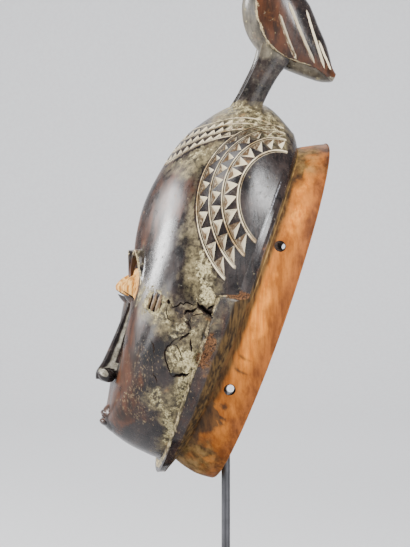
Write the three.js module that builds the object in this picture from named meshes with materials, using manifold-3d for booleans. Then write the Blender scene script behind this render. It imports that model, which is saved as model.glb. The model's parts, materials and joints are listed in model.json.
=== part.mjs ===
// Carved wooden Yaure-type face mask with a bird on its crown, on a steel rod stand.
// Millimetres, +Z up. The face looks along -Y. The origin is the centre of the foot's underside.
import * as THREE from 'three';
import { mergeVertices } from 'three/addons/utils/BufferGeometryUtils.js';
import Module from 'manifold-3d';

const wasm = await Module();
wasm.setup();

// Driving dimensions of the stand
const ROD_RADIUS = 3.25;
const ROD_TOP = 327;
const FOOT_WIDTH = 140;
const FOOT_THICK = 14;
const FOOT_CHAMFER = 2;
const COLLAR_RADIUS = 6;
const COLLAR_HEIGHT = 14;
const PEG_RADIUS = 2.75;
const FIT_GAP = 0.3;

// How the mask hangs: its rim plane leans back, and its rim's lowest point is here
const LEAN = THREE.MathUtils.degToRad(19);
const RIM_FOOT = { y: -8.25, z: 91.5 };

// The rim is close to an ellipse, 260 tall, and the opening's middle is halfway up it
const MIDDLE = 130;
const LIP_THICK = 8.5;
const HOLLOW_DEPTH = 92;
const HOLLOW_SQUARENESS = 3;
const HOLLOW_TAPER = { side: 0.9, ends: 0.94, by: 0.1 };

// Peg holes through the rim band, two on each side
const HOLE_RADIUS = 4.1;
const HOLE_DEPTH = 20;
const HOLE_HEIGHTS = [63, 174];

// Grid of the shell
const AROUND = 44;
const DOME_RINGS = 16;
const HOLLOW_RINGS = 5;

// Every ring of the shell is an ellipse. Its half width and depth at the side, and its half
// height and depth at the crown and at the chin, come from these three profiles.
const BAND = {
  side: [[82, 0], [79.5, 14], [74.5, 27.5]],
  crown: [[133, 0], [128, 11], [121.7, 22]],
  chin: [[132.5, 0], [133, 15], [127.6, 33]],
};
const RUFF = {
  side: [[79.5, 37.5], [80.5, 50.5], [75.5, 53]],
  bareSide: [[75, 29.5], [76, 33], [76.5, 38]],
  crown: [[123.5, 22.6], [127, 24.4], [132, 28]],
  chin: [[139.8, 37.4], [141.8, 42], [131.6, 44.5]],
};
const DOME = {
  side: [[75.8, 57], [73.5, 70], [66, 85], [53, 96.5], [36, 104.5], [17, 108.6], [0, 109.6]],
  crown: [[144.4, 54], [136, 77.5], [112.5, 98], [87, 109.4], [52, 116], [24, 115.2], [0, 109.6]],
  chin: [[131, 56], [127.5, 76], [120, 90.5], [106, 93.4], [80, 95.6], [36, 100], [0, 109.6]],
};
const CHIN_POINT = 0.09;
const RUFF_TOP = 0.03;
const RUFF_FADE = 0.1;

const smooth = (low, high, value) => THREE.MathUtils.smoothstep(value, low, high);
const mix = THREE.MathUtils.lerp;
const spread = (from, to, count, make) => Array.from({ length: count + 1 },
  (_, i) => make(mix(from, to, i / count)));

// A point of the mask: x across, d forward of the rim plane, h up along it, to the world
function place(x, d, h) {
  return new THREE.Vector3(
    x,
    RIM_FOOT.y - d * Math.cos(LEAN) + h * Math.sin(LEAN),
    RIM_FOOT.z + d * Math.sin(LEAN) + h * Math.cos(LEAN),
  );
}

// A smooth curve through profile points, read at 0 to 1
function alongProfile(points, t) {
  const span = points.length - 1;
  const at = Math.min(Math.floor(t * span), span - 1);
  const local = t * span - at;
  const pick = (i) => points[THREE.MathUtils.clamp(i, 0, span)];
  const [a, b, c, d] = [pick(at - 1), pick(at), pick(at + 1), pick(at + 2)];
  return [0, 1].map((k) => 0.5 * (2 * b[k] + (c[k] - a[k]) * local
    + (2 * a[k] - 5 * b[k] + 4 * c[k] - d[k]) * local ** 2
    + (3 * b[k] - a[k] - 3 * c[k] + d[k]) * local ** 3));
}

// One point of an elliptical ring, from its side, crown and chin values
function onRing(side, crown, chin, angle) {
  const up = Math.sin(angle);
  const across = Math.cos(angle);
  const end = up >= 0 ? crown : chin;
  const narrow = 1 - CHIN_POINT * Math.max(0, -up) ** 2;
  return {
    x: side[0] * across * narrow,
    d: mix(side[1], end[1], up * up),
    h: MIDDLE + end[0] * up,
  };
}

// The ruff round the jaw starts at the ears and fades out above them
function ruffShare(angle) {
  return 1 - smooth(-RUFF_TOP - RUFF_FADE, -RUFF_TOP, Math.sin(angle));
}

function ruffPoint(ring, angle) {
  const share = ruffShare(angle);
  const side = [0, 1].map((k) => mix(RUFF.bareSide[ring][k], RUFF.side[ring][k], share));
  return onRing(side, RUFF.crown[ring], RUFF.chin[ring], angle);
}

function domePoint(t, angle) {
  const share = ruffShare(angle);
  const last = RUFF.bareSide.length - 1;
  const foot = [0, 1].map((k) => mix(RUFF.bareSide[last][k], RUFF.side[last][k], share));
  const side = alongProfile([foot, ...DOME.side], t);
  const crown = alongProfile([RUFF.crown[last], ...DOME.crown], t);
  const chin = alongProfile([RUFF.chin[last], ...DOME.chin], t);
  return onRing(side, crown, chin, angle);
}

// The hollow is a squared-off dome inside the lip
function hollowPoint(t, angle) {
  const swing = t * Math.PI / 2;
  const reach = Math.cos(swing) ** (2 / HOLLOW_SQUARENESS);
  const depth = HOLLOW_DEPTH * Math.sin(swing) ** (2 / HOLLOW_SQUARENESS);
  const share = smooth(0, HOLLOW_TAPER.by, t);
  const half = (size, taper) => (size - LIP_THICK) * reach * mix(1, taper, share);
  return onRing(
    [half(BAND.side[0][0], HOLLOW_TAPER.side), depth],
    [half(BAND.crown[0][0], HOLLOW_TAPER.ends), depth],
    [half(BAND.chin[0][0], HOLLOW_TAPER.ends), depth],
    angle,
  );
}

// A closed solid from rings of points, with a point or a flat cap at each end
function ringSolid(rings, capStart, capEnd) {
  const positions = [];
  const indices = [];
  const count = rings[0].length;
  rings.forEach((ring) => ring.forEach((p) => positions.push(p.x, p.y, p.z)));
  for (let r = 0; r < rings.length - 1; r += 1) {
    for (let i = 0; i < count; i += 1) {
      const [a, b] = [r * count + i, r * count + (i + 1) % count];
      indices.push(a, b, b + count, a, b + count, a + count);
    }
  }
  const ends = [[capStart, 0, true], [capEnd, (rings.length - 1) * count, false]];
  ends.forEach(([cap, first, flip]) => {
    const at = positions.length / 3;
    positions.push(cap.x, cap.y, cap.z);
    for (let i = 0; i < count; i += 1) {
      const [a, b] = [first + i, first + (i + 1) % count];
      indices.push(...(flip ? [at, b, a] : [at, a, b]));
    }
  });
  const geometry = new THREE.BufferGeometry();
  geometry.setAttribute('position', new THREE.Float32BufferAttribute(positions, 3));
  geometry.setIndex(indices);
  return solid(geometry);
}

const middleOf = (points) => points.reduce((sum, p) => sum.add(p), new THREE.Vector3())
  .divideScalar(points.length);

// A solid from a closed geometry, turned outward if its faces point in
function solid(geometry) {
  const bare = geometry.clone();
  bare.deleteAttribute('normal');
  bare.deleteAttribute('uv');
  const merged = mergeVertices(bare, 1e-3);
  const build = (triVerts) => new wasm.Manifold(new wasm.Mesh({
    numProp: 3,
    vertProperties: Float32Array.from(merged.attributes.position.array),
    triVerts: Uint32Array.from(triVerts),
  }));
  const faces = Array.from(merged.index.array);
  const first = build(faces);
  if (first.volume() > 0) return first;
  return build(faces.map((_, i) => faces[i - (i % 3) + [0, 2, 1][i % 3]]));
}

function ringOf(pointAt, count = AROUND) {
  return Array.from({ length: count }, (_, i) => {
    const { x, d, h } = pointAt((i / count) * Math.PI * 2);
    return place(x, d, h);
  });
}

// Shell: hollow, lip, band, ruff and dome in one closed skin
function shell() {
  const rings = [];
  for (let r = HOLLOW_RINGS - 1; r >= 0; r -= 1) {
    rings.push(ringOf((angle) => hollowPoint(r / HOLLOW_RINGS, angle)));
  }
  BAND.side.forEach((_, r) => {
    rings.push(ringOf((angle) => onRing(BAND.side[r], BAND.crown[r], BAND.chin[r], angle)));
  });
  RUFF.side.forEach((_, r) => rings.push(ringOf((angle) => ruffPoint(r, angle))));
  for (let r = 1; r < DOME_RINGS; r += 1) {
    rings.push(ringOf((angle) => domePoint(r / DOME_RINGS, angle)));
  }
  return ringSolid(rings, place(0, HOLLOW_DEPTH, MIDDLE), place(0, DOME.side.at(-1)[1], MIDDLE));
}

// Points on the dome are found by halving an interval of rings this often
const HALVINGS = 24;
const SIDE_RINGS_END = 0.86;
const quarter = (h) => (h >= MIDDLE ? Math.PI / 2 : -Math.PI / 2);

// Half width of the dome at a depth and height
function domeSide(d, h) {
  let low = 0;
  let high = SIDE_RINGS_END;
  const at = (t) => {
    const size = domePoint(t, quarter(h)).h - MIDDLE;
    const up = THREE.MathUtils.clamp((h - MIDDLE) / size, 0, 1) * Math.sign(h - MIDDLE || 1);
    return domePoint(t, Math.asin(up));
  };
  for (let step = 0; step < HALVINGS; step += 1) {
    const t = (low + high) / 2;
    if (at(t).d < d) low = t;
    else high = t;
  }
  return at((low + high) / 2).x;
}

// Depth of the front of the dome at a place across and up
function frontDepth(x, h) {
  const up = h - MIDDLE;
  let low = 0;
  let high = 1;
  let found = domePoint(1, 0);
  for (let step = 0; step < HALVINGS; step += 1) {
    const t = (low + high) / 2;
    const across = x / Math.max(domePoint(t, 0).x, 1e-3);
    const along = up / Math.max(Math.abs(domePoint(t, quarter(h)).h - MIDDLE), 1e-3);
    found = domePoint(t, Math.atan2(along, across));
    if (across ** 2 + along ** 2 < 1) low = t;
    else high = t;
  }
  return found.d;
}

// Face: heights up the rim line, widths across, and how far forward each part stands
const NOSE = [
  { h: 118, half: 2.5, ridge: 108.6, root: 98 },
  { h: 104, half: 3.8, ridge: 105.4, root: 96 },
  { h: 92, half: 4.5, ridge: 104.9, root: 94 },
  { h: 72, half: 6, ridge: 106.2, root: 92 },
  { h: 54, half: 8, ridge: 108, root: 91 },
  { h: 44, half: 9.5, ridge: 110, root: 90 },
  { h: 39.5, half: 7.5, ridge: 105.5, root: 90 },
];
const NOSTRIL = { x: 8, h: 45, d: 99, size: [4.6, 5.5, 7] };
const EYE = { x: 19, h: 112.5, d: 101.5, size: [12.4, 12.4, 12.4] };
const SLIT = { width: 22, height: 2.6, h: 106, from: 80, to: 130 };
const NOSE_SHOULDER = 0.55;
const NOSE_ROUND = 0.28;
const BROW = {
  x: 19.5, rise: 136.5, fall: 111, halfWidth: 16.5, radius: 3.8, thinEnd: 0.55, sink: -1.2, steps: 10,
  sides: 6, from: 0.06, to: 0.96,
};
const MOUTH = { h: 15.3, d: 91, size: [12.5, 6.4, 5] };
const CHEEK_BARS = { count: 3, d: 92, h: 106, pitch: 3.8, size: [2.2, 8, 1.5] };
const ROUND = { sides: 12, rows: 7 };
const SMALL = { sides: 6, rows: 4 };

function ellipsoid(x, d, h, [across, tall, forward], detail = ROUND) {
  const ball = new THREE.SphereGeometry(1, detail.sides, detail.rows);
  ball.scale(across, forward, tall);
  ball.rotateX(-LEAN);
  const at = place(x, d, h);
  ball.translate(at.x, at.y, at.z);
  return solid(ball);
}

// A box turned with the mask, from its middle and its sizes across, forward and up
function leaningBox(x, d, h, across, forward, tall) {
  const box = new THREE.BoxGeometry(across, forward, tall);
  box.rotateX(-LEAN);
  const at = place(x, d, h);
  box.translate(at.x, at.y, at.z);
  return solid(box);
}

function nose() {
  const rings = NOSE.map(({ h, half, ridge, root }) => {
    const flank = [half, mix(root, ridge, NOSE_SHOULDER)];
    const top = [half * NOSE_SHOULDER, ridge - half * NOSE_ROUND];
    const right = [[half, root], flank, top];
    const left = right.map(([x, d]) => [-x, d]);
    return [...left, [0, ridge], ...right.reverse()].map(([x, d]) => place(x, d, h));
  });
  return ringSolid(rings, middleOf(rings[0]), middleOf(rings.at(-1)));
}

// Raised brow: a round ridge over the eye, following the dome
function brow(side) {
  const rings = spread(BROW.from, BROW.to, BROW.steps, (share) => {
    const swing = Math.PI * share;
    const x = BROW.x - BROW.halfWidth * Math.cos(swing);
    const h = mix(BROW.fall, BROW.rise, Math.sin(swing));
    const radius = BROW.radius * mix(BROW.thinEnd, 1, Math.sin(swing));
    const d = frontDepth(x, h) - BROW.sink;
    return Array.from({ length: BROW.sides }, (_, k) => {
      const turn = (k / BROW.sides) * Math.PI * 2;
      const out = radius * Math.cos(turn);
      return place(side * (x - out * Math.cos(swing)), d + radius * Math.sin(turn),
        h + out * Math.sin(swing));
    });
  });
  return ringSolid(rings, middleOf(rings[0]), middleOf(rings.at(-1)));
}

// Three upright scar bars stand on each cheek, between the eye and the ear
function cheekBars(side) {
  return Array.from({ length: CHEEK_BARS.count }, (_, i) => {
    const d = CHEEK_BARS.d + (i - (CHEEK_BARS.count - 1) / 2) * CHEEK_BARS.pitch;
    return ellipsoid(side * domeSide(d, CHEEK_BARS.h), d, CHEEK_BARS.h, CHEEK_BARS.size, SMALL);
  });
}

// Hair: rows of triangular chips between grooves, in arcs over each ear and on the brow tongue
const LOBE = {
  d: 22, h: 211, droop: 0.15, radii: [70, 61, 51.5, 40], chips: [14, 13, 11], from: -78, to: 62,
  steps: 8,
};
const TONGUE = {
  h: 207, rise: 26, half: 45, rows: 3, pitch: 9.5, chipPitch: 10, top: 255, steps: 6, trim: 0.02,
};
const GROOVE = { half: 0.9, deep: 1.5, mouth: 2 };
const CHIP = { deep: 2.2, fill: 0.82, baseInset: 1.6, tipInset: 2.4, floorTowardsTip: 0.12 };
const LIFT = 1.5;
const HEAD_HEART = { d: 42, flatten: 0.55 };

function lobePoint(radius, degrees) {
  const turn = THREE.MathUtils.degToRad(degrees);
  const droop = LOBE.droop * (radius / LOBE.radii[0]) * Math.max(0, -Math.sin(turn)) ** 3;
  const long = radius * (1 + droop);
  const [d, h] = [LOBE.d + long * Math.cos(turn), LOBE.h + long * Math.sin(turn)];
  return { x: domeSide(d, h), d, h };
}

function tonguePoint(row, across) {
  const x = TONGUE.half * across;
  const h = Math.min(TONGUE.h + row * TONGUE.pitch + TONGUE.rise * across * across, TONGUE.top);
  return { x, d: frontDepth(Math.abs(x), h), h };
}

// How far out a row of the tongue runs before it meets the lobe over the ear
function tongueReach(row) {
  let across = 1;
  const inLobe = ({ d, h }) => Math.hypot(d - LOBE.d, h - LOBE.h) < LOBE.radii[0] + 1;
  while (inLobe(tonguePoint(row, across))) across -= TONGUE.trim;
  return across;
}

// The direction out of the dome at one of its points, in world terms
function outward({ x, d, h }) {
  const from = place(0, HEAD_HEART.d, MIDDLE + (h - MIDDLE) * HEAD_HEART.flatten);
  return place(x, d, h).sub(from).normalize();
}

// A three-sided cut, deep along its base and rising to nothing at its tip
function chip(left, right, tip, side) {
  const corners = [left, right, tip].map((p) => ({ ...p, x: p.x * side }));
  const out = corners.map(outward);
  const at = corners.map((p) => place(p.x, p.d, p.h));
  const [a, b, c] = at.map((p, i) => p.clone().addScaledVector(out[i], LIFT));
  const floor = at[0].clone().lerp(at[1], 0.5).lerp(at[2], CHIP.floorTowardsTip)
    .addScaledVector(out[0], -CHIP.deep);
  const geometry = new THREE.BufferGeometry();
  const list = [a, b, c, floor].flatMap((p) => [p.x, p.y, p.z]);
  geometry.setAttribute('position', new THREE.Float32BufferAttribute(list, 3));
  geometry.setIndex([0, 2, 1, 0, 1, 3, 1, 2, 3, 2, 0, 3]);
  return solid(geometry);
}

// A V groove swept along points of the dome
function groove(points, side) {
  const sided = points.map((p) => ({ ...p, x: p.x * side }));
  const at = sided.map((p) => place(p.x, p.d, p.h));
  const rings = at.map((p, i) => {
    const out = outward(sided[i]);
    const ahead = at[Math.min(i + 1, at.length - 1)].clone().sub(at[Math.max(i - 1, 0)]);
    const across = ahead.cross(out).normalize().multiplyScalar(GROOVE.half);
    const top = p.clone().addScaledVector(out, LIFT);
    return [
      top.clone().addScaledVector(across, GROOVE.mouth),
      top.clone().addScaledVector(across, -GROOVE.mouth),
      p.clone().addScaledVector(out, -GROOVE.deep),
    ];
  });
  return ringSolid(rings, middleOf(rings[0]), middleOf(rings.at(-1)));
}

function hairCuts() {
  const cuts = [];
  const { from, to, steps } = LOBE;
  [1, -1].forEach((side) => {
    LOBE.radii.forEach((radius) => {
      cuts.push(groove(spread(from, to, steps, (angle) => lobePoint(radius, angle)), side));
    });
    LOBE.chips.forEach((count, row) => {
      const base = LOBE.radii[row] - CHIP.baseInset;
      const tip = LOBE.radii[row + 1] + CHIP.tipInset;
      const step = (to - from) / count;
      for (let i = 0; i < count; i += 1) {
        const middle = from + (i + 0.5) * step;
        const half = step * 0.5 * CHIP.fill;
        cuts.push(chip(lobePoint(base, middle - half), lobePoint(base, middle + half),
          lobePoint(tip, middle), side));
      }
    });
  });
  for (let row = 0; row <= TONGUE.rows; row += 1) {
    const reach = tongueReach(row);
    const line = (across) => tonguePoint(row, across);
    cuts.push(groove(spread(-reach, reach, TONGUE.steps, line), 1));
    if (row === TONGUE.rows) break;
    const base = row + CHIP.baseInset / TONGUE.pitch;
    const tip = row + 1 - CHIP.tipInset / TONGUE.pitch;
    const count = Math.round((2 * reach * TONGUE.half) / TONGUE.chipPitch);
    const step = (2 * reach) / count;
    for (let i = 0; i < count; i += 1) {
      const middle = -reach + (i + 0.5) * step;
      const half = step * 0.5 * CHIP.fill;
      cuts.push(chip(tonguePoint(base, middle - half), tonguePoint(base, middle + half),
        tonguePoint(tip, middle), 1));
    }
  }
  return cuts;
}

// Bird: stations from tail to neck, each with its place in the middle plane and two radii
const BODY = [
  { y: 81, z: 389, deep: 2.5, half: 7 },
  { y: 73, z: 394, deep: 8, half: 12 },
  { y: 61, z: 406, deep: 16.5, half: 16 },
  { y: 49, z: 418.4, deep: 22.5, half: 19 },
  { y: 39.5, z: 431.6, deep: 25, half: 20 },
  { y: 33, z: 447, deep: 22, half: 18 },
  { y: 28, z: 461, deep: 14.5, half: 13.5 },
  { y: 21, z: 472, deep: 10, half: 10 },
  { y: 13, z: 481, deep: 10, half: 9.5 },
  { y: 4, z: 483.5, deep: 7.5, half: 7 },
];
const BEAK = [
  { y: 6, z: 484, deep: 6.5, half: 5.5 },
  { y: -6, z: 482, deep: 5, half: 4 },
  { y: -16, z: 475, deep: 3.8, half: 3 },
  { y: -22, z: 465, deep: 2.2, half: 2 },
  { y: -23.5, z: 458, deep: 0.8, half: 0.8 },
];
const BODY_SIDES = 12;
const BEAK_SIDES = 6;
const WING_PROUD = 2.4;
const WING_OUTLINE = [
  [20, 466], [23, 447.5], [24.5, 438.5], [28, 428], [33.5, 416], [43, 406.5], [53.5, 401],
  [65, 397.5], [86, 384], [96, 392], [80, 450], [52, 478],
];
const WING_GROOVES = [
  [[33, 449], [42, 427], [52, 405]],
  [[44, 444], [55, 424], [64.5, 400]],
  [[56, 441], [64, 420], [70.5, 399]],
  [[66, 426], [75.5, 396]],
];
const WING_GROOVE_WIDTH = 2;
const ACROSS = 240;
const LEG = {
  x: 9, half: 5.6,
  top: { y: 37.5, z: 408, deep: 11 },
  bottom: { y: 13, z: 361, deep: 9.5 },
  section: [[-1, -0.55], [-0.2, -1], [0.75, -0.7], [1, 0.3], [0.45, 1], [-0.7, 0.8]],
};

// Rings round a path in the middle plane, square to it
function pathSolid(stations, sides) {
  const centre = (i) => new THREE.Vector3(0, stations[i].y, stations[i].z);
  const rings = stations.map((station, i) => {
    const ahead = centre(Math.min(i + 1, stations.length - 1)).sub(centre(Math.max(i - 1, 0)));
    const out = new THREE.Vector3(0, ahead.z, -ahead.y).normalize();
    return Array.from({ length: sides }, (_, k) => {
      const turn = (k / sides) * Math.PI * 2;
      return centre(i).addScaledVector(out, station.deep * Math.cos(turn))
        .add(new THREE.Vector3(station.half * Math.sin(turn), 0, 0));
    });
  });
  return ringSolid(rings, centre(0), centre(stations.length - 1));
}

// A flat outline in the middle plane, made solid right across the bird
function acrossOutline(points) {
  const shape = new THREE.Shape(points.map(([y, z]) => new THREE.Vector2(y, z)));
  const geometry = new THREE.ExtrudeGeometry(shape, { depth: ACROSS, bevelEnabled: false });
  geometry.translate(0, 0, -ACROSS / 2);
  geometry.rotateY(Math.PI / 2);
  geometry.rotateX(Math.PI / 2);
  return solid(geometry);
}

function strip(points, width) {
  const offset = points.map(([y, z], i) => {
    const [y0, z0] = points[Math.max(i - 1, 0)];
    const [y1, z1] = points[Math.min(i + 1, points.length - 1)];
    const long = Math.hypot(y1 - y0, z1 - z0);
    return { y, z, ny: (-(z1 - z0) / long) * width * 0.5, nz: ((y1 - y0) / long) * width * 0.5 };
  });
  return acrossOutline([
    ...offset.map((p) => [p.y + p.ny, p.z + p.nz]),
    ...offset.reverse().map((p) => [p.y - p.ny, p.z - p.nz]),
  ]);
}

function leg(side) {
  const axis = new THREE.Vector3(0, LEG.top.y - LEG.bottom.y, LEG.top.z - LEG.bottom.z);
  const across = new THREE.Vector3(0, axis.z, -axis.y).normalize();
  const rings = [LEG.bottom, LEG.top].map(({ y, z, deep }) => LEG.section.map(([u, v]) => (
    new THREE.Vector3(side * (LEG.x - v * LEG.half), y, z).addScaledVector(across, u * deep))));
  return ringSolid(rings, middleOf(rings[0]), middleOf(rings[1]));
}

function bird() {
  const body = pathSolid(BODY, BODY_SIDES);
  const proud = pathSolid(BODY.map((station) => ({
    ...station, deep: station.deep + WING_PROUD, half: station.half + WING_PROUD,
  })), BODY_SIDES);
  let wings = proud.intersect(acrossOutline(WING_OUTLINE));
  WING_GROOVES.forEach((line) => {
    wings = wings.subtract(strip(line, WING_GROOVE_WIDTH));
  });
  return body.add(wings).add(pathSolid(BEAK, BEAK_SIDES)).add(leg(1)).add(leg(-1));
}

// Rod, welded bar with its two peg ends, and collar
const peg = {
  y: place(0, HOLE_DEPTH, HOLE_HEIGHTS[0]).y,
  z: place(0, HOLE_DEPTH, HOLE_HEIGHTS[0]).z + HOLE_RADIUS - PEG_RADIUS - FIT_GAP,
};
const PEG_REACH = 69;
const ROD_SIDES = 16;

function cylinder(radius, length, sides) {
  return new THREE.CylinderGeometry(radius, radius, length, sides);
}

function standRod(grow = 0) {
  const low = FOOT_THICK + FIT_GAP;
  const rod = cylinder(ROD_RADIUS + grow, ROD_TOP - low + grow, ROD_SIDES);
  rod.rotateX(Math.PI / 2);
  rod.translate(0, 0, (ROD_TOP + low + grow) / 2);
  const bar = cylinder(PEG_RADIUS, PEG_REACH * 2, ROD_SIDES);
  bar.rotateZ(Math.PI / 2);
  bar.translate(0, peg.y, peg.z);
  const collar = cylinder(COLLAR_RADIUS, COLLAR_HEIGHT, ROD_SIDES);
  collar.rotateX(Math.PI / 2);
  collar.translate(0, 0, peg.z);
  return grow ? solid(rod) : solid(rod).add(solid(bar)).add(solid(collar));
}

function foot() {
  const flat = FOOT_WIDTH / 2 - FOOT_CHAMFER;
  const shape = new THREE.Shape([
    new THREE.Vector2(-flat, -flat), new THREE.Vector2(flat, -flat),
    new THREE.Vector2(flat, flat), new THREE.Vector2(-flat, flat),
  ]);
  const geometry = new THREE.ExtrudeGeometry(shape, {
    depth: FOOT_THICK - 2 * FOOT_CHAMFER,
    bevelEnabled: true,
    bevelSegments: 1,
    bevelSize: FOOT_CHAMFER,
    bevelThickness: FOOT_CHAMFER,
  });
  geometry.translate(0, 0, FOOT_CHAMFER);
  return solid(geometry);
}

// The whole mask: shell, features, bird, then every cut. Loose crumbs between two cuts fall away.
function mask() {
  let wood = shell().add(nose());
  [1, -1].forEach((side) => {
    wood = wood.add(ellipsoid(side * EYE.x, EYE.d, EYE.h, EYE.size)).add(brow(side))
      .add(ellipsoid(side * NOSTRIL.x, NOSTRIL.d, NOSTRIL.h, NOSTRIL.size));
    cheekBars(side).forEach((bar) => {
      wood = wood.add(bar);
    });
  });
  wood = wood.add(ellipsoid(0, MOUTH.d, MOUTH.h, MOUTH.size)).add(bird());
  const depth = SLIT.to - SLIT.from;
  const cuts = [1, -1].map((side) => leaningBox(side * EYE.x, SLIT.from + depth / 2, SLIT.h,
    SLIT.width, depth, SLIT.height));
  HOLE_HEIGHTS.forEach((h) => {
    const bore = cylinder(HOLE_RADIUS, ACROSS, ROD_SIDES);
    bore.rotateZ(Math.PI / 2);
    const at = place(0, HOLE_DEPTH, h);
    bore.translate(at.x, at.y, at.z);
    cuts.push(solid(bore));
  });
  cuts.push(standRod(FIT_GAP));
  cuts.push(...hairCuts());
  cuts.forEach((cut) => {
    wood = wood.subtract(cut);
  });
  return wood.decompose().sort((a, b) => b.volume() - a.volume())[0];
}

function meshOf(name, shape, colour, roughness, metalness) {
  const made = shape.getMesh();
  const geometry = new THREE.BufferGeometry();
  geometry.setAttribute('position', new THREE.BufferAttribute(made.vertProperties, made.numProp));
  geometry.setIndex(new THREE.BufferAttribute(made.triVerts, 1));
  geometry.computeVertexNormals();
  const material = new THREE.MeshStandardMaterial({ color: colour, roughness, metalness });
  const mesh = new THREE.Mesh(geometry, material);
  mesh.name = name;
  return mesh;
}

const object = new THREE.Group();
object.add(meshOf('mask', mask(), 0x4b4144, 0.4, 0));
object.add(meshOf('stand_rod', standRod(), 0x555558, 0.5, 0.8));
object.add(meshOf('stand_foot', foot(), 0x3a3a3c, 0.5, 0.8));

export default object;
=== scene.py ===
# %% [markdown]
# # A carved wooden mask on a steel rod
# The object is one block of carved wood: a face with a three-lobed chip-carved head of hair, a ruff
# round the jaw, a raw rim band behind, and a bird on the crown. A steel rod with a cross bar holds it
# up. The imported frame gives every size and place, so this script only dresses it. Depths, heights and
# widths below are in millimetres of the mask's own frame: x across, d forward of the rim, h up it.

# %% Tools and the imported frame
import json
import math

import bmesh
import bpy
import numpy as np
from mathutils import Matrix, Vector, noise
from mathutils.bvhtree import BVHTree
from mathutils.kdtree import KDTree

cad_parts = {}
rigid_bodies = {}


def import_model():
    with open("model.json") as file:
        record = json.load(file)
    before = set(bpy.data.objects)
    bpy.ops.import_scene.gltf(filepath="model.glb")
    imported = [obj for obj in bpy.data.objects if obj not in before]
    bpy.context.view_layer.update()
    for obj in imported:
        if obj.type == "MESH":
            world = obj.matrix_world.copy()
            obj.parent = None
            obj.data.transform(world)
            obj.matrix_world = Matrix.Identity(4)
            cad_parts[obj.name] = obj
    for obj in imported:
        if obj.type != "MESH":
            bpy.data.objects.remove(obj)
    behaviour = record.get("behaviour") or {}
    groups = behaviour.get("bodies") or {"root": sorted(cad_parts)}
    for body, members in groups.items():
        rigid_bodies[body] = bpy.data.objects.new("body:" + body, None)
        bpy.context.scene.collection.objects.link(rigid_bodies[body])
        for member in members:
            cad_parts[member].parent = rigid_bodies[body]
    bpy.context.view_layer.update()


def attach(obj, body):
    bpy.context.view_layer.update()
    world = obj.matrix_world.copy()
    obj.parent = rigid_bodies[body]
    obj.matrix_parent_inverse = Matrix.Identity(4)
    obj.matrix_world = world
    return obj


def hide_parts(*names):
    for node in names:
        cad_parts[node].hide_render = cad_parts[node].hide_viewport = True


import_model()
MM = 0.001

# %% [markdown]
# ## The camera
# The photograph was taken with a long lens, nearly square to the mask's left side: 82 degrees round
# from the face. At the distance of the mask one pixel is 0.75 mm, and that fixes the lens.

# %% Camera
PIXEL_MM = 0.75
IMAGE_HEIGHT_PX = 547
VIEW_AZIMUTH = math.radians(82)
CAMERA_DISTANCE_MM = 2500
FRAME_CENTRE_MM = Vector((0, -15.75, 242.6))
SENSOR_HEIGHT_MM = 24

camera_data = bpy.data.cameras.new("camera")
camera_data.sensor_fit = "VERTICAL"
camera_data.sensor_height = SENSOR_HEIGHT_MM
camera_data.lens = SENSOR_HEIGHT_MM * CAMERA_DISTANCE_MM / (IMAGE_HEIGHT_PX * PIXEL_MM)
camera = bpy.data.objects.new("camera", camera_data)
looking = Vector((-math.sin(VIEW_AZIMUTH), math.cos(VIEW_AZIMUTH), 0))
camera.location = (FRAME_CENTRE_MM - looking * CAMERA_DISTANCE_MM) * MM
camera.rotation_euler = looking.to_track_quat("-Z", "Y").to_euler()
bpy.context.scene.collection.objects.link(camera)
bpy.context.scene.camera = camera
print("lens mm:", round(camera_data.lens, 1))

# %% [markdown]
# ## The mask's skin as a loft
# A carver starts from an oval block and rounds it ring by ring. The same idea gives the mesh: every
# ring is an ellipse, and three short profiles (over the ear, over the crown, under the chin) say how
# wide, tall and deep each ring is. One grid, bent into those rings, runs from the middle of the
# hollow over the lip, the band and the ruff to the middle of the face, so the wall is one closed skin.

# %% Profiles of the rings
LEAN = math.radians(19)
RIM_FOOT_MM = (-8.25, 91.5)
MIDDLE = 130
BAND = {
    "side": [(82, 0), (79.5, 14), (74.5, 27.5)],
    "crown": [(133, 0), (128, 11), (121.7, 22)],
    "chin": [(132.5, 0), (133, 15), (127.6, 33)],
}
RUFF = {
    "side": [(79.5, 37.5), (80.5, 50.5), (75.5, 53)],
    "bare_side": [(75, 29.5), (76, 33), (76.5, 38)],
    "crown": [(123.5, 22.6), (127, 24.4), (132, 28)],
    "chin": [(139.8, 37.4), (141.8, 42), (131.6, 44.5)],
}
DOME = {
    "side": [(75.8, 57), (73.5, 70), (66, 85), (53, 96.5), (36, 104.5), (17, 108.6), (0, 109.6)],
    "crown": [(144.4, 54), (136, 77.5), (112.5, 98), (87, 109.4), (52, 116), (24, 115.2), (0, 109.6)],
    "chin": [(131, 56), (127.5, 76), (120, 90.5), (106, 93.4), (80, 95.6), (36, 100), (0, 109.6)],
}
CHIN_POINT = 0.09
RUFF_TOP = 0.0
RUFF_FADE = 0.035
LIP_THICK = 8.5
HOLLOW_DEPTH = 92
HOLLOW_SQUARENESS = 3
HOLLOW_TAPER = {"side": 0.9, "ends": 0.94, "by": 0.1}
print("profiles for", len(DOME["side"]), "dome stations")


# %% Curves, rings, and the way to the world
def smooth(low, high, value):
    t = np.clip((np.asarray(value, float) - low) / (high - low), 0, 1)
    return t * t * (3 - 2 * t)


def mix(a, b, share):
    return a + (b - a) * share


def along(points, t):
    """A smooth curve through points, read at t from 0 to 1. Points may be arrays."""
    span = len(points) - 1
    at = min(int(t * span), span - 1)
    local = t * span - at
    a, b, c, d = (np.asarray(points[min(max(at + k, 0), span)], float) for k in (-1, 0, 1, 2))
    return 0.5 * (2 * b + (c - a) * local + (2 * a - 5 * b + 4 * c - d) * local ** 2
                  + (3 * b - a - 3 * c + d) * local ** 3)


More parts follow.
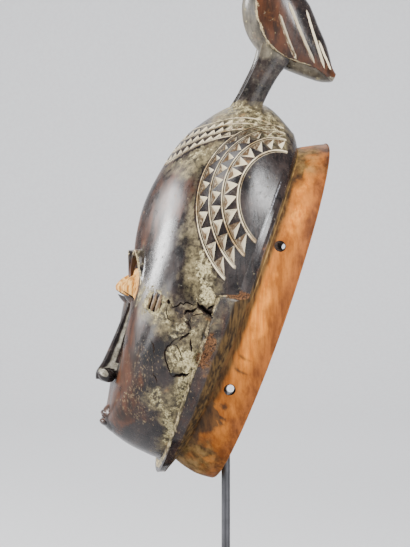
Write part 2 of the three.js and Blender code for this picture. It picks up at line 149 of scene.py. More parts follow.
def along_all(points, steps):
    """The smooth curve through points, read at even steps."""
    return np.array([along(points, t) for t in np.linspace(0, 1, steps)])


def steps_ahead(path):
    """Unit steps along a path in a plane."""
    ahead = np.gradient(path, axis=0)
    return ahead / np.linalg.norm(ahead, axis=1, keepdims=True)


def on_ring(side, crown, chin, angle):
    """Points x, d, h of one elliptical ring."""
    up, across = np.sin(angle), np.cos(angle)
    narrow = 1 - CHIN_POINT * np.maximum(0, -up) ** 2
    tall = np.where(up >= 0, crown[0], chin[0])
    deep = np.where(up >= 0, crown[1], chin[1])
    return np.stack([side[0] * across * narrow, mix(side[1], deep, up * up), MIDDLE + tall * up], -1)


def side_of_ruff(index, angle):
    """The ruff round the jaw starts at the ears: above them its rings lie flat."""
    share = 1 - smooth(-RUFF_TOP - RUFF_FADE, -RUFF_TOP, np.sin(angle))
    bare, full = RUFF["bare_side"][index], RUFF["side"][index]
    return [mix(bare[k], full[k], share) for k in (0, 1)]


def to_world(points):
    """Mask millimetres to metres of the shared frame."""
    x, d, h = (points[..., k] for k in range(3))
    y = RIM_FOOT_MM[0] - d * math.cos(LEAN) + h * math.sin(LEAN)
    z = RIM_FOOT_MM[1] + d * math.sin(LEAN) + h * math.cos(LEAN)
    return np.stack([x, y, z], -1) * MM


def to_mask(points):
    """Metres of the shared frame back to mask millimetres."""
    x, y, z = (np.asarray(points)[..., k] / MM for k in range(3))
    back, up = -(y - RIM_FOOT_MM[0]), z - RIM_FOOT_MM[1]
    return np.stack([x, back * math.cos(LEAN) + up * math.sin(LEAN),
                     up * math.cos(LEAN) - back * math.sin(LEAN)], -1)


print("foot of the rim in the world:", to_world(np.zeros(3)).round(4))

# %% [markdown]
# ## Rows of the grid
# The rows are not evenly spaced: the hollow is plain and needs few, the hair and the face need many.
# The lip and the ruff get rows close to their edges, so that the edges come out worn and round.

# %% Rows from the hollow to the face
COLUMNS = 310
HOLLOW_ROWS = 16
BAND_ROWS = 14
RUFF_ROWS = 18
DOME_ROWS = 132
LIP_ROUND = 1.6

angles = np.linspace(0, 2 * np.pi, COLUMNS + 1)


def hollow_ring(t):
    swing = t * math.pi / 2
    reach = math.cos(swing) ** (2 / HOLLOW_SQUARENESS)
    depth = HOLLOW_DEPTH * math.sin(swing) ** (2 / HOLLOW_SQUARENESS)
    share = float(smooth(0, HOLLOW_TAPER["by"], t))

    def half(size, taper):
        return (size - LIP_THICK) * reach * mix(1, taper, share)
    ends = HOLLOW_TAPER["ends"]
    return on_ring((half(BAND["side"][0][0], HOLLOW_TAPER["side"]), depth),
                   (half(BAND["crown"][0][0], ends), depth),
                   (half(BAND["chin"][0][0], ends), depth), angles)


def lip_ring(inset, depth):
    """A ring of the lip, inset from the rim's outer edge."""
    return on_ring(*[(BAND[end][0][0] - inset, depth) for end in ("side", "crown", "chin")], angles)


def band_ring(t):
    return on_ring(*[along(BAND[end], t) for end in ("side", "crown", "chin")], angles)


def ruff_ring(t):
    """From the band's foot over the ruff's two edges to the foot of the dome."""
    stops = [[BAND["side"][-1], BAND["crown"][-1], BAND["chin"][-1]]]
    stops += [[side_of_ruff(k, angles), RUFF["crown"][k], RUFF["chin"][k]] for k in range(3)]
    span = len(stops) - 1
    at = min(int(t * span), span - 1)
    local = t * span - at
    ends = zip(stops[at], stops[at + 1])
    return on_ring(*[[mix(a[k], b[k], local) for k in (0, 1)] for a, b in ends], angles)


def dome_ring(t):
    last = len(RUFF["crown"]) - 1
    foot = side_of_ruff(last, angles)
    n = np.ones_like(angles)
    side = along([foot] + [(p[0] * n, p[1] * n) for p in DOME["side"]], t)
    return on_ring(side, along([RUFF["crown"][last]] + DOME["crown"], t),
                   along([RUFF["chin"][last]] + DOME["chin"], t), angles)


print("points in a ring:", COLUMNS)

# %% Rings stacked into the skin
rings = [hollow_ring(t) for t in np.linspace(1, 0.02, HOLLOW_ROWS)]
quarter = [(LIP_ROUND * (1 - math.cos(a)), LIP_ROUND * (1 - math.sin(a)))
           for a in np.linspace(0, math.pi / 2, 4)]
rings += [lip_ring(LIP_THICK - inset, depth) for inset, depth in quarter]
rings += [lip_ring(inset, depth) for inset, depth in reversed(quarter)]
band_starts = len(rings)
rings += [band_ring(t) for t in np.linspace(0.1, 1, BAND_ROWS)]
ruff_starts = len(rings)
rings += [ruff_ring(t) for t in np.linspace(0, 1, RUFF_ROWS + 1)[1:]]
dome_starts = len(rings)
rings += [dome_ring(t) for t in np.linspace(0, 1, DOME_ROWS + 1)[1:]]
skin = np.stack(rings)
print("skin grid:", skin.shape, "ruff from row", ruff_starts, "dome from row", dome_starts)

# %% [markdown]
# ## From rings to a mesh
# A grid is the simplest mesh that can be bent into a tube: each row becomes one ring. After the bend
# the seam's doubled points are merged, open ends are filled, and the normals are turned outward.
# Wood is joined and cut with Boolean modifiers. Their manifold solver is exact and quick, and the
# material number of a cutter stays on the faces it cuts, so a cut can be painted on its own.

# %% Loft and Boolean helpers
PATINA, KAOLIN, DARK_CUT = 0, 1, 2
wood_finishes = [bpy.data.materials.new(name) for name in
                 ("patinated_carved_wood", "kaolin_in_chip_cuts", "dark_cut_wood")]


def loft_into(bm, rings):
    """Bend a grid through closed rings of points in mask millimetres, and close its ends."""
    rows, columns = rings.shape[:2]
    made = bmesh.ops.create_grid(bm, x_segments=columns, y_segments=rows - 1, size=1)["verts"]
    places = to_world(np.concatenate([rings, rings[:, :1]], axis=1)).reshape(-1, 3)
    for vert, place in zip(made, places):
        vert.co = place
    bmesh.ops.remove_doubles(bm, verts=made, dist=1e-6)
    alive = [vert for vert in made if vert.is_valid]
    rims = {edge for vert in alive for edge in vert.link_edges if edge.is_boundary}
    bmesh.ops.holes_fill(bm, edges=list(rims))


def to_object(name, bm, material=PATINA, finishes=wood_finishes):
    """Turn the faces outward, and make an object at the origin."""
    bmesh.ops.recalc_face_normals(bm, faces=bm.faces)
    for face in bm.faces:
        face.material_index = material
    mesh = bpy.data.meshes.new(name)
    bm.to_mesh(mesh)
    bm.free()
    for finish in finishes:
        mesh.materials.append(finish)
    made = bpy.data.objects.new(name, mesh)
    bpy.context.scene.collection.objects.link(made)
    return made


def lofted(name, rings, material=PATINA):
    bm = bmesh.new()
    for one in rings:
        loft_into(bm, one)
    return to_object(name, bm, material)


def combine(body, other, operation):
    """Join to or cut from the body, keep the result as its mesh, and drop the other object."""
    step = body.modifiers.new(operation, "BOOLEAN")
    step.operation, step.object, step.solver = operation, other, "MANIFOLD"
    depsgraph = bpy.context.evaluated_depsgraph_get()
    before, result = body.data, bpy.data.meshes.new_from_object(body.evaluated_get(depsgraph))
    body.modifiers.clear()
    body.data = result
    print(operation.lower(), other.name, "faces:", len(before.polygons), "->", len(result.polygons))
    bpy.data.objects.remove(other)


print("helpers ready")

# %% [markdown]
# ## Tool marks
# The outside was scraped and polished, so its waves are shallow. The hollow was left from the adze.
# Both are smooth noise along the grid's own normals, at the size of the tool's bite.

# %% Tool marks on the skin
# The size and the depth of the marks, in mm.
SCRAPE = {"size": 17, "deep": 0.3}
ADZE = {"size": 13, "deep": 0.7}


def outward_of(grid):
    down = np.gradient(grid, axis=0)
    along_ring = np.roll(grid, -1, axis=1) - np.roll(grid, 1, axis=1)
    normal = np.cross(along_ring, down)
    normal /= np.maximum(np.linalg.norm(normal, axis=-1, keepdims=True), 1e-9)
    return normal * np.sign(normal[-20, :, 1].mean())


def waves(points, size, offset=0.0):
    """Smooth noise from about -1 to 1, with waves of the given size in the points' own unit."""
    flat = points.reshape(-1, 3) / size + offset
    return np.array([noise.noise(p) for p in flat]).reshape(points.shape[:-1])


def swell(points, table, start=0.0):
    """Waves of several sizes on top of one another. Each row is swing, size and place in the noise."""
    return sum((swing * waves(points, size, offset) for swing, size, offset in table), start)


skin = skin[:, :-1]
out = outward_of(skin)
out[0], out[-1] = (0, -1, 0), (0, 1, 0)
deep = np.full(skin.shape[0], SCRAPE["deep"])
deep[:HOLLOW_ROWS] = 0
marks = waves(skin, SCRAPE["size"]) * deep[:, None]
marks[:HOLLOW_ROWS] = waves(skin[:HOLLOW_ROWS], ADZE["size"], 7.7) * ADZE["deep"]
marks[HOLLOW_ROWS:band_starts] = 0


def oval(d, h, points, long, wide, tilt=0.0, soft=0.5):
    """A soft oval in the side view: 1 inside and 0 outside. Its long axis is tilted from forward."""
    turn = math.radians(tilt)
    u = ((points[..., 1] - d) * math.cos(turn) + (points[..., 2] - h) * math.sin(turn)) / long
    v = ((points[..., 2] - h) * math.cos(turn) - (points[..., 1] - d) * math.sin(turn)) / wide
    return 1 - smooth(1 - soft, 1 + soft, np.hypot(u, v))


print("deepest tool mark, mm:", round(float(np.abs(marks).max()), 2))

# %% Torn and patched places, and the worn rim
# Depth, height, half sizes, tilt, how far sunk, and how rough.
TORN = [(73.5, 105.5, 10.5, 6.5, -12, 0.5, 0.8), (62.5, 73, 11, 9.5, 60, 0.9, 0.6),
        (58, 101, 9, 6, -10, 0.2, 0.5), (46, 92, 7, 6, 60, 1.6, 1.0), (46, 78, 6, 8, 60, 2.2, 1.1)]
TEAR_WAVES = [(1, 3.6, 3.1), (0.5, 1.8, 5.2)]
RUFF_WAVES = [(0.35, 9, 1.7), (0.2, 3.5, 8.1)]
BAND_WAVES = [(0.6, 34, 4.4)]
RIM_WEAR, RIM_WAVES = 0.9, [(1, 26, 9.1), (0.5, 8, 2.9)]
EAR_FOOT_MM = 128
tears = swell(skin, TEAR_WAVES)
left_cheek = (skin[..., 0] > 0) & (np.arange(len(skin)) >= ruff_starts)[:, None]
for d, h, long, wide, tilt, sunk, rough in TORN:
    share = oval(d, h, skin, long, wide, tilt, 0.3) * left_cheek
    marks += share * (tears * rough - sunk)
on_ruff = slice(ruff_starts, dome_starts + 2)
marks[on_ruff] += swell(skin[on_ruff], RUFF_WAVES) * (skin[on_ruff, :, 2] < EAR_FOOT_MM)
marks[band_starts:ruff_starts] += swell(skin[band_starts:ruff_starts], BAND_WAVES)
skin = skin + out * marks[..., None]
rim = slice(HOLLOW_ROWS - 1, band_starts + 6)
ends_kept = (smooth(0.96, 0.8, np.abs(np.sin(angles[:-1])))
             * smooth(6, 0, np.arange(rim.stop - rim.start))[:, None])
skin[rim, :, 1] += np.maximum(swell(skin[rim], RIM_WAVES, RIM_WEAR), 0) * ends_kept
mask = lofted("mask_wood", [skin])
print("skin faces:", len(mask.data.polygons))

# %% [markdown]
# ## Finding places on the carved surface
# Every cut starts on the surface. A ray from the side finds the width of the head at a depth and
# height, and a ray from the front finds the depth of the face at a width and height.

# %% Rays onto the skin
FAR = 220
INTO_FACE = Vector((0, math.cos(LEAN), -math.sin(LEAN)))
skin_tree = BVHTree.FromObject(mask, bpy.context.evaluated_depsgraph_get())


def cast(start, direction):
    """Where a ray meets the skin, and the way out of the wood there, in mask millimetres."""
    place, normal, _, _ = skin_tree.ray_cast(Vector(to_world(np.array(start, float))), direction)
    if place is None:
        return None
    way = np.array([normal.x, -normal.y * math.cos(LEAN) + normal.z * math.sin(LEAN),
                    normal.y * math.sin(LEAN) + normal.z * math.cos(LEAN)])
    return to_mask(np.array(place)), way


def on_side(d, h, side):
    return cast((side * FAR, d, h), Vector((-side, 0, 0)))


def on_front(x, h):
    return cast((x, FAR, h), INTO_FACE)


print("front of the nose root at depth", round(float(on_front(0, 118)[0][1]), 1))

# %% [markdown]
# ## Nose, eyes, brows, mouth and scars
# On a carved face these stand up from one smooth block with crisp feet, so each is a small loft of its
# own, joined to the skin. The nose is a wedge with flared wings. Each eye is a hooded bulge under a
# thin arched brow. The lips are small and full, and three upright scars stand on each cheek.

# %% Nose and its wings
# Stations down the nose: height, half width of the foot, depth of the ridge, depth of the foot.
NOSE = [(118, 4.5, 108.2, 98), (104, 7, 105.2, 96), (92, 8.5, 104.9, 94), (72, 10, 106.2, 92),
        (54, 11.5, 108, 91), (45, 11.5, 110, 90), (39.2, 9, 108.6, 90)]
NOSE_SECTION = [(1, 0), (0.72, 0.12), (0.47, 0.34), (0.35, 0.55), (0.31, 0.64), (0.28, 0.9), (0.17, 0.98),
                (0, 1)]
NOSE_TIP = {"from": 56, "to": 44, "rise": 0.36}
WING = {"x": 7.4, "d": 102.4, "h": 44.2, "size": (5.4, 6.4, 4.9)}

half_section = np.array(NOSE_SECTION)
spread_out, lift = np.concatenate([half_section, half_section[-2::-1] * (-1, 1)]).T
nose_rings = []
for h, half, ridge, root in along_all(NOSE, 56):
    depths = mix(root, ridge, lift)
    undercut = NOSE_TIP["rise"] * float(smooth(NOSE_TIP["from"], NOSE_TIP["to"], h))
    nose_rings.append(np.stack([half * spread_out, depths, h + undercut * (ridge - depths)], -1))
nose = lofted("nose", [np.stack(nose_rings)])


def ball(centre, size, squareness=1.0, rows=22, columns=36, lower=1.0):
    """Rings of a rounded bulge: size across, forward and up, and a share of that up for below."""
    swing = np.linspace(-np.pi / 2, np.pi / 2, rows)[:, None]
    turn = np.linspace(0, 2 * np.pi, columns, endpoint=False)[None, :]

    def power(values):
        return np.sign(values) * np.abs(values) ** squareness
    x, up = power(np.cos(swing)) * power(np.cos(turn)), power(np.cos(swing)) * power(np.sin(turn))
    forward = power(np.sin(swing)) * np.ones_like(turn)
    tall = np.where(up < 0, size[2] * lower, size[2])
    return np.stack([centre[0] + size[0] * x, centre[1] + size[1] * forward,
                     centre[2] + tall * up], -1)


combine(mask, nose, "UNION")
for side in (1, -1):
    place = (side * WING["x"], WING["d"], WING["h"])
    combine(mask, lofted("nose_wing", [ball(place, WING["size"], 0.9)]), "UNION")

# %% Eyes and brows
EYE = {"x": 18, "d": 101.5, "h": 110.6, "size": (13, 13.6, 15), "lower": 0.74}
EYE_SQUARENESS = 1.34
SLIT = {"h": 106.4, "half": 11.5, "tall": 1.25, "droop": 2.4}
# The sharp edge of each brow, from the nose over the top and down: width, depth, height.
BROW_EDGE = [(4, 106.5, 112), (5.5, 110, 121), (8.5, 112.6, 129.5), (13, 114.3, 135.8), (19.5, 114.5, 138.9),
             (26, 112.6, 135), (30.4, 109.6, 128.6), (33.8, 106.2, 121.5), (36, 103.4, 115.6),
             (37, 99.5, 109)]
# Across the brow: how far out from the edge, and how high between the skin (0) and the edge (1).
BROW_SECTION = [(-1.5, -1), (-1.3, 0.9), (-0.6, 1), (0.3, 1), (0.8, 0.8), (1.4, 0.5), (2.1, 0.24),
                (2.9, 0.09), (3.8, 0.02), (4.6, -1)]
BROW_FOOT = 6


def brow_rings(side):
    """A thin flange: a sharp edge over the eye that runs back softly into the forehead."""
    path = along_all(BROW_EDGE, 44)
    rings = []
    for share, (x, edge, h), (ahead_x, ahead_h) in zip(np.linspace(0, 1, len(path)), path,
                                                       steps_ahead(path[:, [0, 2]])):
        full = float(smooth(0, 0.12, share) * smooth(0, 0.1, 1 - share))
        ring = []
        for u, v in BROW_SECTION:
            out_x, out_h = x - ahead_h * u * mix(0.5, 1, full), h + ahead_x * u * mix(0.5, 1, full)
            surface = on_front(side * out_x, out_h)[0][1]
            proud = mix(0, edge - surface, v * full) if v > 0 else -BROW_FOOT
            ring.append((side * out_x, surface + proud, out_h))
        rings.append(ring)
    return np.array(rings)


def slit_rings(middle, half_wide, h, tall, droop, back, front):
    """A thin blade cut in from the front, highest in the middle of its width."""
    rings = []
    for share in np.linspace(-1, 1, 24):
        x, low = middle + half_wide * share, h - droop * share * share
        half = tall * math.sqrt(max(0.02, 1 - share * share))
        rings.append([(x, back, low - half), (x, front, low - half), (x, front, low + half),
                      (x, back, low + half)])
    return np.array(rings)


print("the brow's edge stands proud at", len(BROW_EDGE), "stations")

# %% Eyes and brows joined, and the slits cut
for side in (1, -1):
    place = (side * EYE["x"], EYE["d"], EYE["h"])
    eye = ball(place, EYE["size"], EYE_SQUARENESS, 26, 48, EYE["lower"])
    combine(mask, lofted("eye", [eye]), "UNION")
    combine(mask, lofted("brow", [brow_rings(side)]), "UNION")
    slit = slit_rings(side * EYE["x"], SLIT["half"], SLIT["h"], SLIT["tall"], SLIT["droop"], 84, 124)
    combine(mask, lofted("eye_slit", [slit], DARK_CUT), "DIFFERENCE")

# %% Lips and cheek scars
MUZZLE = {"place": (0, 80, 18), "size": (19, 16, 13)}
LIPS = [((0, 91.4, 17.5), (9.5, 5.6, 3.1)), ((0, 90.5, 11.2), (8.8, 5.2, 3))]
MOUTH_SLIT = (0, 8.4, 14.4, 0.55, 0.6, 88, 100)
SCARS = {"d": 92.4, "h": 106, "pitch": 3.1, "size": (2.2, 1.75, 7.2)}

combine(mask, lofted("muzzle", [ball(MUZZLE["place"], MUZZLE["size"], 1, 30, 48)]), "UNION")
for place, size in LIPS:
    combine(mask, lofted("lip", [ball(place, size, 0.95)]), "UNION")
combine(mask, lofted("mouth_slit", [slit_rings(*MOUTH_SLIT)], DARK_CUT), "DIFFERENCE")
for side in (1, -1):
    scars = []
    for step in (-1, 0, 1):
        d = SCARS["d"] + step * SCARS["pitch"]
        surface = on_side(d, SCARS["h"], side)[0]
        scars.append(ball(surface, SCARS["size"], 0.75, 10, 12))
    combine(mask, lofted("scars", scars), "UNION")

# %% [markdown]
# ## The bird
# The bird's body is a loft along a bent line from tail to beak. Its wings lie on it as raised flat
# shields: a slightly fatter copy of the body is kept only inside the wing's outline and joined on, as
# a carver leaves the wing standing while cutting the body back. Feather lines are V cuts.

# %% Bird body, beak, wings and legs
BODY = [(81, 389, 2.5, 7), (73, 394, 8, 12), (61, 406, 16.5, 16), (49, 418.4, 22.5, 19),
        (39.5, 431.6, 25, 20), (33, 447, 22, 18), (28, 461, 14.5, 13.5), (21, 472, 10, 10),
        (13, 481, 10, 9.5), (4, 483.5, 7.5, 7)]
BEAK = [(6, 484, 6.5, 5.5), (-6, 482, 5, 4), (-16, 475, 3.8, 3), (-22, 465, 2.2, 2),
        (-23.5, 458, 0.8, 0.8)]
WING_PROUD = 2.4
WING_OUTLINE = [(17.5, 466), (20.5, 447.5), (21, 438.5), (23.5, 428), (29.5, 416), (40, 406.5),
                (52.5, 401), (65, 397), (86, 384), (96, 392), (80, 450), (52, 478)]
# Each leg from the foot up: y, z, half depth and half width.
LEG_X = 9
LEG = [(9.5, 352, 15, 8), (12.5, 360, 11.5, 6.4), (17, 370, 9.4, 5.6), (24, 384, 9, 5.4), (31, 397, 9.8, 5.6),
       (38, 410, 13, 6), (44, 422, 14, 6)]
LEG_SECTION = [(-1, -0.5), (-0.35, -1), (0.7, -0.85), (1, 0), (0.6, 0.9), (-0.6, 0.9), (-1, 0.2)]


def from_world(points):
    """World millimetres to mask millimetres."""
    return to_mask(np.array(points, float) * MM)


def tube(stations, steps, columns, proud=0.0):
    """Rings square to a path in the middle plane. Each station is y, z, deep, half."""
    path = along_all(stations, steps)
    turn = np.linspace(0, 2 * np.pi, columns, endpoint=False)
    rings = []
    for (y, z, deep_in, half), (ay, az) in zip(path, steps_ahead(path[:, :2])):
        reach = (deep_in + proud) * np.cos(turn)
        rings.append(np.stack([(half + proud) * np.sin(turn), y + az * reach, z - ay * reach], -1))
    return from_world(rings)


def prism(outline, reach=60):
    return from_world([[(x, y, z) for y, z in outline] for x in (-reach, reach)])


print("stations of the bird's body:", len(BODY), "of its beak:", len(BEAK))

# %% The bird joined up
bird = lofted("bird", [tube(BODY, 64, 72)])
wings = lofted("bird_wings", [tube(BODY, 64, 72, WING_PROUD)])
smooth_outline = np.concatenate([along_all(WING_OUTLINE[:10], 54), WING_OUTLINE[10:]])
combine(wings, lofted("wing_outline", [prism(smooth_outline)]), "INTERSECT")
combine(bird, wings, "UNION")
combine(bird, lofted("beak", [tube(BEAK, 24, 28)]), "UNION")
closed_section = along_all(LEG_SECTION + LEG_SECTION[:1], 29)[:-1]
leg_path = along_all(LEG, 26)
for side in (1, -1):
    rings = [[(side * (LEG_X - v * half), y + up * u * deep_in, z - back * u * deep_in)
              for u, v in closed_section]
             for (y, z, deep_in, half), (back, up) in zip(leg_path, steps_ahead(leg_path[:, :2]))]
    combine(bird, lofted("leg", [from_world(rings)]), "UNION")
print("bird faces:", len(bird.data.polygons))

# %% [markdown]
# ## V cuts
# Hair lines, feathers and cracks are all cut with the corner of a chisel. A cutter is a thin
# three-sided loft along points of the surface: wide above the wood, sharp at its depth.

# %% V cuts, and the feathers
FEATHERS = [[(37, 436), (40, 427), (45, 414), (50.5, 403)],
            [(44.5, 445), (50, 431), (57, 415), (64.5, 400)],
            [(59, 440), (62, 429), (67, 413), (72.5, 396.5)],
            [(68.5, 417), (72, 408), (75, 402), (78, 395.5)]]
FEATHER_CUT = {"half": 1.35, "deep": 1.7}
CLEAR = 1.5


def v_cut(places, ways, half, deep_in, taper=0.12):
    """Rings of a V cut through surface points, with the way out of the wood at each."""
    places, ways = np.array(places), np.array(ways)
    ahead = np.gradient(places, axis=0)
    across = np.cross(ahead, ways)
    across /= np.maximum(np.linalg.norm(across, axis=1, keepdims=True), 1e-9)
    share = np.linspace(0, 1, len(places))
    fade = mix(0.25, 1, smooth(0, taper, share) * smooth(0, taper, 1 - share))[:, None]
    mouth = half * fade * (deep_in * fade + CLEAR) / (deep_in * fade)
    top = places + ways * CLEAR
    return np.stack([top + across * mouth, top - across * mouth,
                     places - ways * deep_in * fade], axis=1)


bird_tree = BVHTree.FromObject(bird, bpy.context.evaluated_depsgraph_get())
for side in (1, -1):
    feathers = []
    for line in FEATHERS:
        hits = [bird_tree.ray_cast(Vector((side * FAR, y, z)) * MM, Vector((-side, 0, 0)))
                for y, z in along_all(line, 26)]
        places = to_mask(np.array([hit[0] for hit in hits]))
        ways = to_mask(np.array([hit[0] + hit[1] * MM for hit in hits])) - places
        feathers.append(v_cut(places, ways, FEATHER_CUT["half"], FEATHER_CUT["deep"]))
    combine(bird, lofted("feather_cuts", feathers, KAOLIN), "DIFFERENCE")
combine(mask, bird, "UNION")

# %% [markdown]
# ## Chip-carved hair
# Round each ear run four double lines with rows of triangular chips between them, and three rows cross
# the tongue on the brow. Each chip was cut with three strokes to one deep point, so the cutter is a
# three-sided cone with its corners on the surface and its tip in the wood.

# %% Hair rows
LOBE = {"d": 22, "h": 211, "chips": (14, 13, 11), "from": -67, "to": 71}
# How far each of the four lines runs from the ear, at these turns in degrees round it.
LINE_TURNS = (-78, -50, -22, 0, 20, 40, 60, 74)
LINE_REACH = [(79.8, 74.7, 69.6, 65.2, 61.6, 58.8, 56, 51.5),
              (68.5, 64.6, 60.8, 58.6, 56.2, 54.4, 51.8, 47.6),
              (56.8, 54.1, 51.7, 50.4, 48.9, 47.6, 45.8, 43),
              (43.2, 41.5, 40, 39.1, 38.3, 37.3, 35.6, 33.4)]
LINE_CURVES = [np.polyfit(LINE_TURNS, reach, 4) for reach in LINE_REACH]
HAIR_LINES = len(LINE_REACH)
TONGUE = {"h": 207, "rise": 40, "half": 45, "rows": 3, "pitch": 10.6, "chip": 6.6, "skew": 0.7,
          "top": 258}
RIDGE = {"outer": 1.1, "inner": 0.75}
LINE_CUT = (0.42, 1.2)
CHIP = {"fill": 0.94, "base_inset": 1.1, "tip_inset": 1.7, "deep": 3.3, "skew": 0.85,
        "floor": 0.28}
SKEW_FADES = (5, 50)


def line_reach(row, degrees):
    return np.polyval(LINE_CURVES[row], degrees)


def lobe_point(reach, degrees, side):
    turn = math.radians(degrees)
    return on_side(LOBE["d"] + reach * math.cos(turn), LOBE["h"] + reach * math.sin(turn), side)


def tongue_point(row, across):
    h = TONGUE["h"] + row * TONGUE["pitch"] + TONGUE["rise"] * across * across
    return on_front(TONGUE["half"] * across, min(h, TONGUE["top"]))


def tongue_reach(row):
    """How far out a row runs before it meets the outermost line over the ear."""
    for across in np.arange(1, 0.3, -0.02):
        hit = tongue_point(row, across)
        if hit:
            ahead, up = hit[0][1] - LOBE["d"], hit[0][2] - LOBE["h"]
            if math.hypot(ahead, up) > line_reach(0, math.degrees(math.atan2(up, ahead))) + 2.5:
                return across
    return 0.3


def chip_into(bm, left, right, tip, deep_in):
    """One chip: three corners lifted off the surface, and a deep point near the base."""
    made = bmesh.ops.create_cone(bm, segments=3, radius1=1, radius2=0, depth=1,
                                 cap_ends=True)["verts"]
    floor = mix((left[0] + right[0]) / 2, tip[0], CHIP["floor"]) - left[1] * deep_in
    apex = max(made, key=lambda vert: vert.co.z)
    for vert, corner in zip([v for v in made if v is not apex], (left, right, tip)):
        vert.co = to_world(floor + (corner[0] - floor) * (deep_in + CLEAR) / deep_in)
    apex.co = to_world(floor)


print("hair lines ahead of the ear, mm:", [round(float(line_reach(row, 0)), 1) for row in range(HAIR_LINES)])

# %% Hair lines and chips
chips = bmesh.new()
lines = []
for side in (1, -1):
    for row in range(HAIR_LINES):
        path = [lobe_point(line_reach(row, a), a, side) for a in np.linspace(LOBE["from"], LOBE["to"], 90)]
        lines.append(v_cut(*zip(*path), *LINE_CUT))
    for row, count in enumerate(LOBE["chips"]):
        step = (LOBE["to"] - LOBE["from"]) / count
        for k in range(count):
            middle = LOBE["from"] + (k + 0.5) * step
            half = step * 0.5 * CHIP["fill"]
            skew = half * CHIP["skew"] * (1 - float(smooth(*SKEW_FADES, middle)))
            left, right = (lobe_point(line_reach(row, a) - CHIP["base_inset"], a, side)
                           for a in (middle - half, middle + half))
            tip_reach = line_reach(row + 1, middle + skew) + CHIP["tip_inset"]
            chip_into(chips, left, right, lobe_point(tip_reach, middle + skew, side), CHIP["deep"])
for row in range(TONGUE["rows"] + 1):
    reach = tongue_reach(row)
    steps = np.linspace(-reach, reach, 120)
    path = [tongue_point(row, a) for a in steps]
    lines.append(v_cut(*zip(*path[::2]), *LINE_CUT))
    if row == TONGUE["rows"]:
        break
    gone = np.linalg.norm(np.diff([place for place, _ in path], axis=0), axis=1)
    gone = np.concatenate([[0], np.cumsum(gone)])
    count = round(gone[-1] / TONGUE["chip"])
    corners = np.interp(np.arange(2 * count + 1) * gone[-1] / (2 * count), gone, steps)
    for left, middle, right in zip(corners[0::2], corners[1::2], corners[2::2]):
        tip = middle - np.sign(middle) * TONGUE["skew"] * (right - left)
        corner_hits = [tongue_point(row + up, at) for up, at in ((0.2, left), (0.2, right), (0.8, tip))]
        if all(corner_hits):
            chip_into(chips, *corner_hits, CHIP["deep"])
combine(mask, lofted("hair_lines", lines, DARK_CUT), "DIFFERENCE")
combine(mask, to_object("hair_chips", chips, KAOLIN), "DIFFERENCE")

# %% [markdown]
# ## Cracks and a loose flake
# The left cheek, the viewer's side, has split along the grain from the scars to the ruff. Fibres are
# torn open, one crack outlines a loose round flake, and the ruff has lost a piece. Each crack is a V
# cut along a jagged line, wide and deep where the wood has gone.

# %% Cracks on the left cheek
# Each crack is a line of depth and height, its half width and its depth.
CRACKS = [
    ([(82.2, 108.8), (79.5, 106), (77.6, 107.4), (75.4, 111.1), (73.4, 110.4), (71.9, 113.4),
      (66.5, 112.6), (63.6, 114.3)], 0.55, 2.2),
    ([(84.8, 110.6), (83.1, 108.4), (82.2, 107.4)], 1.2, 3.5),
    ([(83.1, 106.1), (83.4, 103.9), (82.1, 100.2), (79.8, 97.1), (75, 96.8)], 0.4, 1.2),
    ([(64.6, 115.4), (62.4, 113.2), (60, 112.9), (57.2, 111.0), (54.1, 110.8), (50.6, 108.2)], 2.1, 7),
    ([(56.4, 111.6), (55, 114.2), (51.6, 117.6)], 1.0, 4),
    ([(70.4, 103.4), (69.9, 106.9), (67.1, 107.2), (64.6, 109.6), (63.2, 112)], 1.15, 4.5),
    ([(66.6, 106), (64.3, 105), (61.2, 107.4), (57.6, 108.8), (54, 107.6)], 0.4, 1.2),
    ([(67.6, 84.6), (66.6, 87.8), (64.7, 89.0), (62.8, 92), (61.2, 92.6)], 0.9, 2.4),
    ([(68.9, 86.4), (71.2, 83.6), (72.3, 80.7), (74.0, 77.5), (74.3, 73.3), (71.8, 68.4),
      (68.1, 64.2), (65.4, 60.4), (61.9, 58.4)], 0.6, 1.8),
    ([(62.2, 57.9), (60.4, 60.2), (58.4, 60.6), (56.6, 62.8), (54, 62.6), (51.8, 65.3)], 1.25, 4.5),
    ([(71.4, 80.9), (67.5, 81), (64.3, 77.9), (61.6, 74.4), (61.8, 71.6)], 0.4, 1.0),
    ([(60.2, 88.9), (58.7, 84.3), (57.4, 83.4), (56.2, 79.2)], 0.75, 2),
    ([(68.6, 98.4), (65.2, 98.8), (62.8, 95.2), (60.4, 96.4)], 0.5, 1.5),
    ([(65.3, 103.6), (65.9, 98.7), (64.2, 95.2)], 0.45, 1.4),
    ([(76.8, 57), (75.2, 54.8), (73.2, 53.2), (70.9, 49.9)], 0.5, 0.9),
    ([(86.4, 78.6), (83.4, 76.5), (81.4, 71.4), (79.8, 68.6)], 0.55, 0.8),
]
JAGGED = {"size": 2.4, "swing": 0.55, "step": 0.6}


def jagged(line):
    """Points close together along a line, shaken off it as split wood runs."""
    line = np.array(line, float)
    lengths = np.concatenate([[0], np.cumsum(np.hypot(*np.diff(line, axis=0).T))])
    along_it = np.arange(0, lengths[-1], JAGGED["step"])
    points = np.stack([np.interp(along_it, lengths, line[:, k]) for k in (0, 1)], -1)
    shake = [waves(np.stack([points[:, 0], points[:, 1], np.full(len(points), k)], -1),
                   JAGGED["size"], 11.3 * k) for k in (1, 2)]
    return points + np.stack(shake, -1) * JAGGED["swing"]


for line, half, deep_in in CRACKS:
    path = [on_side(d, h, 1) for d, h in jagged(line)]
    rings = v_cut(*zip(*path), half, deep_in, 0.3)
    combine(mask, lofted("crack", [rings], DARK_CUT), "DIFFERENCE")

# %% Peg holes and the rod's socket
HOLE = {"radius": 4.1, "d": 20, "heights": (63, 174), "straight": 2.2, "inner": 2.7,
        "lean": math.radians(50), "reach": 18}
ROD = {"radius": 3.25, "top": 327, "gap": 0.3}


